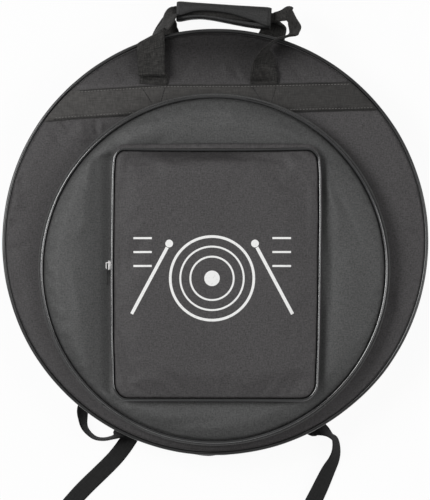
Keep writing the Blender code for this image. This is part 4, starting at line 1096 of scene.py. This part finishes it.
def build_face(name, nodes, look, outline, spacing, low, edge, crown, pocket):
    """A pocket's padded cover: a cloth sheet held at its seam, swelled by pressure and a little wrinkled."""
    net = sheet_net(outline, spacing)
    points = net[0]
    rim = edge_distance(points, outline)
    share = np.clip(rim / SHOULDER, 0, 1)
    dips = np.array([wobble(x, y, pocket["seed"], *COVER_WAVE) for x, y in points]) * share
    heights = low + edge + crown * (share * (2 - share)) + dips + pocket["shape"](points, rim)
    places = inflate(points, heights, net[1], rim < spacing * 0.5, *pocket["cloth"])
    net = sheet_net(outline, spacing / 2)
    flat = net[0]
    moved = spread(points, places - np.column_stack([points, np.zeros(len(points))]), flat)
    sharp = creased(flat, pocket["creases"])
    sharp *= np.clip(edge_distance(flat, outline) / CREASE_MARGIN, 0, 1)
    net = (flat + moved[:, :2], *net[1:])
    heights = np.maximum(moved[:, 2] + sharp, low + COVER_LEAST)
    if "ceiling" in pocket:
        above = (heights - pocket["ceiling"](net[0])) / CEILING_SOFTNESS
        heights = heights - CEILING_SOFTNESS * np.log1p(np.exp(np.clip(above, -60, 60)))
    cover = closed_sheet(name, net, heights, low, look)
    smooth = cover.modifiers.new("Smooth", "SMOOTH")
    smooth.factor = 0.35
    smooth.iterations = 2
    declare(cover, nodes, "pocket_cloth", *pocket["bodies"], pocket["bend"], 0.55)


FOLD_MARGIN = 0.006
ROUND_BELLY = 0.0042
ROUND_CREASES = (
    (-118, 96, -140, 60, 6.0, 1.0), (-150, 40, -176, 6, 8.0, -1.0), (-146, -30, -170, 20, 8.0, 1.0),
    (-140, 10, -138, -70, 8.0, 1.6), (-184, -30, -168, -110, 7.0, -0.8), (-96, 112, -60, 132, 6.0, 0.8),
    (-150, 84, -128, 66, 3.0, 0.7), (-156, 44, -150, 20, 3.2, 0.9), (-142, 0, -136, -34, 3.0, 0.9),
    (146, 84, 166, 10, 6.0, -1.6), (152, 76, 176, 26, 3.4, 1.3), (170, 36, 194, -10, 3.2, 1.0),
    (188, 20, 198, -24, 3.0, -0.7), (168, -20, 190, -60, 5.0, -0.9), (148, 6, 152, -90, 6.0, 1.2),
    (70, 140, 104, 126, 4.0, 0.8), (8, 150, 46, 148, 4.0, -0.7), (-30, 158, 20, 162, 4.0, 0.7),
    (-60, -236, 10, -232, 6.0, 0.8), (60, -226, 120, -196, 6.0, -0.8), (-132, -190, -96, -222, 5.0, 0.8),
)
SQUARE_CREASES = (
    (-122, 60, -118, -60, 5.0, 0.6), (-124, -120, -112, -180, 5.0, 0.8), (-104, 112, -70, 96, 6.0, 0.6),
    (20, 66, 44, 84, 8.0, 0.3), (-30, -150, 26, -158, 10.0, 0.3), (122, 70, 118, -10, 5.0, 0.5),
)


def round_shape(points, rim):
    """The round cover bellies between its own seam and the square pocket on it."""
    outline = rounded(0.004)
    span = np.maximum(rim + edge_distance(points, outline), 1e-6)
    puff = ROUND_BELLY * np.sin(np.pi * np.clip(rim / span, 0, 1)) * np.clip(span / 0.05, 0, 1)
    folds = creased(points, ROUND_CREASES) * np.clip(rim / FOLD_MARGIN, 0, 1)
    return np.where(inside(points, outline), -0.0004, puff + folds)


def beside_puller(points):
    """How high the round cover may stand: low beside the square pocket's zip, where the puller swings."""
    beside = SMALL_SHIFT - SMALL_HALF_WIDTH - 0.004 - points[:, 0]
    past = np.abs(points[:, 1] + SMALL_DROP) - SMALL_HALF_HEIGHT + 0.010
    rise = 0.16 * np.clip(beside, 0, 0.022) + 0.6 * np.maximum(0, beside - 0.022)
    return ROUND_FACE + 0.0004 + rise + 0.5 * np.maximum(0, past) + 0.5 * np.maximum(0, -beside)


def square_shape(points, rim):
    """The square cover sinks with its top seam and slumps into a dip below it."""
    folds = creased(points, SQUARE_CREASES) * np.clip(rim / FOLD_MARGIN, 0, 1)
    sink = np.array([square_sink(x, y) for x, y in points])
    middle = np.clip(1 - np.abs((points[:, 0] - SMALL_SHIFT + 0.012) / 0.105) ** 3, 0, 1)
    below = (SMALL_HEAD - points[:, 1] - DIP_PLACE) / DIP_WIDTH
    return folds - sink - DIP_DEPTH * np.exp(-below ** 2) * middle


def zip_span(floor, base_height):
    """The levels of a pocket's zip: where its lower tape starts, its middle and where its upper tape ends."""
    middle = floor + base_height + GAP + POCKET_TAPE_WIDTH + TAPE_SPLIT / 2
    return middle - TAPE_SPLIT / 2 - POCKET_TAPE_WIDTH, middle, middle + TAPE_SPLIT / 2 + POCKET_TAPE_WIDTH


def build_walls_and_tapes(tag, outline_at, chord, look, carrier, walls, offset, span):
    """A pocket's three walls, given as (name, node, rows, side of the chord), and its two zip tapes."""
    flap = tag + "_flap"
    for (name, node, rows, side), body in zip(walls, (carrier, carrier, flap)):
        wall = sewn_wall(tag + name, outline_at, rows, look, chord if side else None, side)
        declare(wall, tag + node, "pocket_cloth", body)
    low, middle, high = span
    for name, node, body, ends in (("_tape_low", "_zip_lower", carrier, (low, middle - TAPE_SPLIT / 2)),
                                   ("_tape_high", "_zip_upper", flap, (middle + TAPE_SPLIT / 2, high))):
        tape = sewn_wall(tag + name, outline_at, bowed(offset, TAPE_THICK, *ends, 0.0, 2), "tape", chord)
        declare(tape, tag + node, "zip_tape", body)


ROUND_SKIRT = ((-0.00125, 0.0), (0.0044, 0.0002), (0.0050, 0.0010), (0.0047, 0.0020), (0.0034, 0.0027),
               (0.0014, 0.0040), (0.0004, 0.0066), (-0.00125, 0.0066))
ROUND_ROLL = ((0.0012, -0.0088), (0.0026, -0.0070), (0.0052, -0.0046), (0.0066, -0.0030), (0.0072, -0.0016),
              (0.0066, -0.0006), (0.0054, -0.0006), (0.0042, -0.0014), (0.0004, -0.0010), (-0.00125, -GAP))


def build_round_pocket():
    low, middle, high = span = zip_span(ROUND_FLOOR, ROUND_BASE_HEIGHT)
    roll = [(o, ROUND_TOP + z) for o, z in ROUND_ROLL]
    foot = [(-POCKET_WALL, low), (0.0006, low)] + [row for row in roll if row[1] > low + 0.0006]
    seat = high + GAP
    wall = [(-POCKET_WALL, seat), (0.0002, seat)] + [row for row in roll if row[1] > high + 0.0012]
    walls = (("_base_wall", "_gusset", [(o, ROUND_FLOOR + z) for o, z in ROUND_SKIRT], 0),
             ("_foot_wall", "_lower_gusset", foot, -1), ("_flap_wall", "_flap_gusset", wall, 1))
    build_walls_and_tapes("round", round_at, ROUND_CHORD, "pocket", "lid", walls, 0, span)
    start = math.asin((ROUND_CHORD + ROUND_DROP) / ROUND_RADIUS) + 0.02
    for name, side, body in (("round_teeth_low", -1, "lid"), ("round_teeth_high", 1, "round_flap")):
        level = middle + side * 0.0007
        radius = ROUND_RADIUS + 0.0007
        teeth = zip_teeth(name, radius, ROUND_DROP, level, start, math.pi - start, side, 0.0003)
        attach(teeth, body)
    bodies = ("lid", "round_flap")
    bend = ((0, ROUND_CHORD - 0.004, ROUND_FACE), (0, ROUND_CHORD + 0.008, ROUND_FACE))
    pocket = {"seed": 4.2, "cloth": (0.012, 1.2, 0.006), "shape": round_shape, "creases": ROUND_CREASES,
              "ceiling": beside_puller, "bodies": bodies, "bend": bend}
    build_face("round_cover", "round_flap_panel round_lower_panel", "pocket", round_at(-0.0002), 0.0062,
               ROUND_TOP, 0.0026, 0.0014, pocket)
    cord = seam_cord("round_cord", round_at(GAP + ROUND_PIPING), ROUND_TOP + ROUND_PIPING + GAP,
                     ROUND_PIPING - GAP, 3.3)
    declare(cord, "round_flap_piping round_lower_piping", "piping_vinyl", *bodies, bend)


def build_small_pocket():
    low, _, high = span = zip_span(SMALL_FLOOR, SMALL_BASE_HEIGHT)
    out, top = 2 * SMALL_PIPING, SMALL_TOP - GAP
    base = bowed(out, POCKET_WALL, SMALL_FLOOR, SMALL_FLOOR + SMALL_BASE_HEIGHT, 0.0005)
    walls = (("_base_wall", "_gusset", base, 0),
             ("_foot_wall", "_lower_gusset", bowed(out, POCKET_WALL, low, top, 0.0008), -1),
             ("_flap_wall", "_flap_gusset", bowed(out, POCKET_WALL, high + GAP, top, 0.0006), 1))
    build_walls_and_tapes("small", square_wall_at, SMALL_CHORD, "shell", "round_flap", walls, out, span)
    bodies = ("round_flap", "small_flap")
    bend = ((0, SMALL_CHORD - 0.004, SMALL_FACE), (0, SMALL_CHORD + 0.006, SMALL_FACE))
    pocket = {"seed": 8.8, "cloth": (0.008, 1.0, 0.004), "shape": square_shape, "creases": SQUARE_CREASES,
              "bodies": bodies, "bend": bend}
    build_face("small_cover", "small_flap_panel small_lower_panel", "print", rounded(-0.0002), 0.0056,
               SMALL_TOP, 0.0018, 0.0030, pocket)
    cord = seam_cord("small_cord", rounded(GAP + SMALL_PIPING), SMALL_TOP + SMALL_PIPING + GAP,
                     SMALL_PIPING - GAP, 7.1, square_sink)
    declare(cord, "small_flap_piping small_lower_piping", "piping_vinyl", *bodies, bend)


# Straps and the inside

# Shares of a strap's run, width and thickness, then of its sway at the same places
STRAP_SHARES = (
    (0, 0.5, 0.24), (0.015, 0.5, 0.24), (0.05, 0.85, 0.8), (0.1, 1, 1), (0.3, 1, 1), (0.5, 1, 1),
    (0.7, 1, 1), (0.85, 1, 1), (0.93, 0.75, 0.8), (1, 0.42, 0.36),
)
STRAP_SWAY_SHARES = {
    "left": (0, 0, 0.02, 0.06, 0.26, 0.42, 0.34, 0.12, 0.16, 0.42),
    "right": (0, 0, 0.02, 0.06, 0.24, 0.36, 0.24, 0, -0.02, 0.34),
}
# Tails: shares of the reach across and down, of the drop to the floor, and the way that the width points
TAIL_SHARES = {
    "left": (
        ((0, 0), 0, (-27, 0)), ((-0.008, 0.016), 0.83, (-27, 0)), ((-0.033, 0.065), 1, (-29, 0)),
        ((-0.077, 0.132), 1, (-30, 0)), ((-0.121, 0.212), 1, (-33, 0)),
        ((-0.266, 0.418), 1, (-41, -10)), ((-0.557, 0.709), 1, (-41, -5)),
        ((-0.8, 1), 1, (-41, 0)),
    ),
    "right": (
        ((0, 0), 0, (35, 0)), ((0.011, 0.015), 0.83, (35, 0)), ((0.042, 0.06), 1, (42, 0)),
        ((0.125, 0.124), 1, (60, 0)), ((0.235, 0.18), 1, (71, 0)), ((0.275, 0.19), 1, (70, -20)),
        ((0.315, 0.2), 1, (67, -42)), ((0.378, 0.239), 1, (52, -72)),
        ((0.42, 0.278), 1, (23, -68)), ((0.428, 0.358), 1, (-3, -60)),
        ((0.41, 0.433), 1, (-21, -50)), ((0.361, 0.53), 1, (-26, -34)),
        ((0.266, 0.733), 1, (-25, -14)), ((0.125, 1), 1, (-28, 0)),
    ),
}
# Lower webbing: shares of the way from anchor to buckle and of the reach down, then of the reach up, and the
# way that the width points
LOOP_SHARES = {
    "left": (
        ((0, -0.15), 0, (-10, 0)), ((-0.05, 0.18), 0, (0, 0)), ((-0.175, 0.41), 0.018, (7, -46)),
        ((-0.185, 0.6), 0.046, (12, -60)), ((-0.14, 0.82), 0.064, (22, -73)),
        ((0.015, 0.995), 0.071, (57, -80)), ((0.193, 1.035), 0.071, (90, -81)),
        ((0.39, 0.985), 0.068, (107, -74)), ((0.475, 0.925), 0.024, (109, -46)),
        ((0.55, 0.88), -0.03, (111, -22)), ((0.68, 0.818), -0.015, (117, -10)),
        ((0.827, 0.697), 0, (139, 0)), ((0.915, 0.508), 0, (152, 0)), ((1, 0.333), 0, (153, 0)),
    ),
    "right": (
        ((0, -0.15), 0, (12, 0)), ((-0.039, 0.212), 0, (-10, 0)), ((0.065, 0.38), 0, (-45, 0)),
        ((0.26, 0.47), 0, (-64, 0)), ((0.494, 0.54), 0, (-80, 0)), ((0.7, 0.56), 0, (-100, 0)),
        ((0.857, 0.48), 0, (-128, 0)), ((1, 0.333), 0, (-142, 0)),
    ),
}


def strap_rows(side, tag):
    rows = []
    for (run, width, deep), sway in zip(STRAP_SHARES, STRAP_SWAY_SHARES[tag]):
        ceiling = BUCKLE_TOP if run == 1 else STRAP_CEILING
        rows.append((side * (STRAP_TOP_SPACING + STRAP_SWAY * sway), STRAP_TOP - STRAP_RUN * run,
                     ceiling - STRAP_THICK * deep / 2, STRAP_WIDTH * width, STRAP_THICK * deep))
    return rows


def build_cushion(side, tag):
    """A padded strap: full in the middle, thin and bound along both edges."""
    fine = spline(strap_rows(side, tag), 10)
    rings = []
    for x, y, z, w, t in [fine[0]] + [row for row in fine[1:] if row[1] < STRAP_TOP - 0.001]:
        ring = []
        for turn in np.arange(28) * 2 * math.pi / 28:
            c, s = math.cos(turn), math.sin(turn)
            across = w / 2 * math.copysign(abs(c) ** 0.55, c)
            up = t / 2 * math.copysign(abs(s) ** 0.75, s)
            lump = 0.0003 * noise.noise(Vector((across * 60, y * 40, side * 3.0)))
            ring.append((x + across, y, max(z + up * (1 + lump), STRAP_FLOOR)))
        rings.append(ring)
    pad = tube("shoulder_pad_" + tag, rings, "padding")
    declare(pad, "strap_" + tag, "padding", "base", "strap_" + tag,
            ((0, STRAP_TOP - 0.0005, 0), (0, STRAP_TOP - 0.016, 0)), 0.8)


def strap_webbing(name, places, directions):
    count = len(places)
    return ribbon(name, places, [STRAP_WEB_WIDTH] * count, [STRAP_WEB_THICK] * count, directions, "tail")


def build_tail(tag, entry):
    """The free end that comes out of the buckle, down to the floor."""
    high, low = BUCKLE_TOP - STRAP_WEB_THICK / 2, STRAP_FLOOR + STRAP_WEB_THICK / 2 + 0.0005
    places = []
    for (across, down), lift, (_, rise) in TAIL_SHARES[tag]:
        tilt = math.sin(math.radians(abs(rise)))
        level = max(high + (low - high) * lift, low + STRAP_WEB_WIDTH / 2 * tilt + 0.0010 * min(1, 3 * tilt))
        places.append((entry.x + TAIL_REACH * across, entry.y - TAIL_REACH * down, level))
    tail = strap_webbing("tail_" + tag, places, [row[-1] for row in TAIL_SHARES[tag]])
    declare(tail, "strap_tail_" + tag, "webbing", "strap_" + tag)


def build_lower_webbing(side, tag, end):
    """The webbing from its anchor to the buckle."""
    foot = side * ANCHOR_X
    level = STRAP_CEILING - STRAP_WEB_THICK / 2
    places = [(foot + (end.x - foot) * across, ANCHOR_Y - LOOP_REACH * down, level + LOOP_REACH * lift)
              for (across, down), lift, _ in LOOP_SHARES[tag]]
    places[-1] = (places[-1][0], end.y, places[-1][2])
    loop = strap_webbing("loop_" + tag, places, [row[-1] for row in LOOP_SHARES[tag]])
    first, last = (Vector((*places[k][:2], 0)) for k in (0, -1))
    declare(loop, "lower_webbing_" + tag, "webbing", "base", "strap_" + tag, (first.lerp(last, 0.1), last))


def build_straps():
    for tag, side in (("left", -1), ("right", 1)):
        build_cushion(side, tag)
        before, end = (Vector(row[:2]) for row in strap_rows(side, tag)[-2:])
        heading = (end - before).normalized()
        start = end + heading * GAP
        slot = (BUCKLE_LENGTH - 3 * BUCKLE_BAR) / 2
        build_tail(tag, start + heading * (2 * BUCKLE_BAR + slot + slot / 5))
        build_lower_webbing(side, tag, start + heading * (BUCKLE_BAR + slot + BUCKLE_BAR / 2))
        build_tab(side, tag)


def build_tab(side, tag):
    """The folded cloth tab that holds the lower webbing, with its box of stitches."""
    half, length = TAB_HALF_WIDTH, TAB_LENGTH
    outline = [(-half, 0), (half, 0), (half, length - half / 2), (half / 2, length), (-half / 2, length),
               (-half, length - half / 2)]
    turn = -math.atan2(-side * ANCHOR_X, -ANCHOR_Y)
    c, s = math.cos(turn), math.sin(turn)

    def placed(x, y):
        return (side * ANCHOR_X + c * x - s * y, ANCHOR_Y + s * x + c * y)

    loop = resample(np.array([placed(x, y) for x, y in outline]), 120)
    tab = patch("tab_" + tag, loop, 0.003, -GAP, -0.0023, 0.0006, 0.0015, "webbing", 1)
    declare(tab, "anchor_" + tag, "webbing", "base")
    w = half - 0.003
    box = [(-w, 0.004), (w, 0.004), (w, 0.022), (-w, 0.022), (-w, 0.004), (w, 0.022)]
    rows = stitch_row([(*placed(x, y), -0.0024) for x, y in box], *TAB_STITCH)
    sew("tab_stitches_" + tag, rows, "thread", "base")


def build_yoke():
    """The patch that holds both straps at the top, with two rows of stitches."""
    w = YOKE_HALF_WIDTH
    loop = resample(np.array([(-w, YOKE_LOW), (w, YOKE_LOW), (w, YOKE_HIGH), (-w, YOKE_HIGH)]), 160)
    yoke = patch("yoke_patch", loop, 0.004, -GAP, -0.0043, 0.001, 0.003, "padding")
    declare(yoke, "strap_yoke", "padding", "base", fill=0.5)
    rows = []
    for y in (YOKE_LOW + 0.0028, YOKE_HIGH - 0.0027):
        rows += stitch_row([(x, y, -0.0043) for x in np.linspace(0.005 - w, w - 0.005, 30)], *STITCH)
    sew("yoke_stitches", rows, "thread", "base")


def build_dividers():
    outline = circle(0, 0, SHELL_RADIUS - WALL_THICK - DIVIDER_MARGIN, 200)
    for n, name in enumerate(("divider_low", "divider_high")):
        low = PANEL_THICK + GAP + n * (DIVIDER_PITCH + GAP)
        sheet = patch(name + "_cloth", outline, 0.012, low, low + DIVIDER_THICK, 0.0006, 0.004, "lining")
        declare(sheet, name, "divider_cloth", "base", fill=0.9)


# Stage, light and camera

FLOOR_GLOW = 0.94
FLOOR_REACH = 6
CAMERA_DISTANCE = 4.0
CAMERA_LEAN_X = math.radians(2.5)
CAMERA_LEAN_Y = math.radians(1.5)
VIEW_CENTRE = Vector((0.00065, -0.0111, FRONT))
VIEW_HEIGHT = 0.654
SENSOR = 36
SKY_STRENGTH = 0.27
LAMPS = (("key", (-1.9, 0.65, 2.5), 1.5, 64), ("fill", (2.2, 0.0, 2.2), 1.6, 30))


def build_floor():
    """A pale floor that the camera sees as white, with the shadow kept."""
    corners = ((-1, -1), (1, -1), (1, 1), (-1, 1))
    level = STRAP_FLOOR - GAP
    mesh = mesh_from("floor", [(FLOOR_REACH * x, FLOOR_REACH * y, level) for x, y in corners], [range(4)])
    g = Graph("pale_floor")
    g.set(Base_Color=(0.80, 0.80, 0.80), Roughness=0.9)
    path = g.node("LightPath")
    seen = g.math("MAXIMUM", path.outputs["Is Camera Ray"], path.outputs["Is Glossy Ray"])
    glow = g.made("Emission", {"Strength": 1.0})
    blend = g.made("MixShader", (g.times(seen, FLOOR_GLOW), g.shader.outputs[0], glow))
    g.feed(g.tree.nodes["Material Output"].inputs[0], blend)
    mesh.materials.append(g.material)
    floor = bpy.data.objects.new("floor", mesh)
    SCENE.collection.objects.link(floor)


def set_turn(thing, rotation):
    thing.rotation_mode = "QUATERNION"
    thing.rotation_quaternion = rotation
    SCENE.collection.objects.link(thing)


def build_camera():
    data = bpy.data.cameras.new("camera")
    data.sensor_width = SENSOR
    data.lens = SENSOR * CAMERA_DISTANCE / VIEW_HEIGHT
    data.clip_start, data.clip_end = 0.1, 40
    camera = bpy.data.objects.new("camera", data)
    back = Vector((math.tan(CAMERA_LEAN_X), -math.tan(CAMERA_LEAN_Y), 1)).normalized()
    camera.location = VIEW_CENTRE + back * CAMERA_DISTANCE
    right = (Vector((1, 0, 0)) - back * back.x).normalized()
    set_turn(camera, Matrix((right, back.cross(right), back)).transposed().to_quaternion())
    SCENE.camera = camera


def build_light():
    world = bpy.data.worlds.new("world")
    SCENE.world = world
    world.use_nodes = True
    sky = world.node_tree.nodes["Background"]
    sky.inputs["Color"].default_value = (1, 1, 1, 1)
    sky.inputs["Strength"].default_value = SKY_STRENGTH
    for name, place, size, power in LAMPS:
        data = bpy.data.lights.new(name, "AREA")
        data.energy = power
        data.size = size
        lamp = bpy.data.objects.new(name, data)
        lamp.location = place
        set_turn(lamp, (-Vector(place)).to_track_quat("-Z", "Y"))
    SCENE.view_settings.view_transform = "Standard"


def colour_metal():
    """The sliders, pullers and buckles stay as the CAD has them, with their own materials."""
    looks = dict.fromkeys(("main_slider_a", "main_slider_b", "round_slider", "small_slider", "main_puller_a",
                           "main_puller_b", "round_puller"), "steel")
    looks.update(small_puller="black_metal", buckle_left="buckle", buckle_right="buckle")
    for label, look in looks.items():
        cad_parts[label].data.materials[0] = MATERIALS[look]


build_panel("front_pad", "front_panel", "lid", FRONT, 1, 0.0032, "front", FRONT_CREASES, 0.0042)
build_panel("back_pad", "back_panel", "base", 0.0, -1, 0.007, "shell")
build_walls()
build_rim_piping()
build_main_zip()
front_loop = band_loop((ROUND_RADIUS + GAP) / math.cos(math.pi / 60))
build_band("front_strip", "front_band", "lid", front_loop, FRONT + GAP, 1)
build_band("rear_strip", "rear_band", "base", band_loop(stray=lambda x: 0.0), -GAP, -1)
build_handle("front_webbing", "front_handle", "lid", FRONT_HANDLE_ROUTE, FRONT)
build_handle("rear_webbing", "rear_handle", "base", REAR_HANDLE_ROUTE, 0)
build_grip()
build_round_pocket()
build_small_pocket()
build_straps()
build_yoke()
build_dividers()
colour_metal()
build_floor()
build_camera()
build_light()
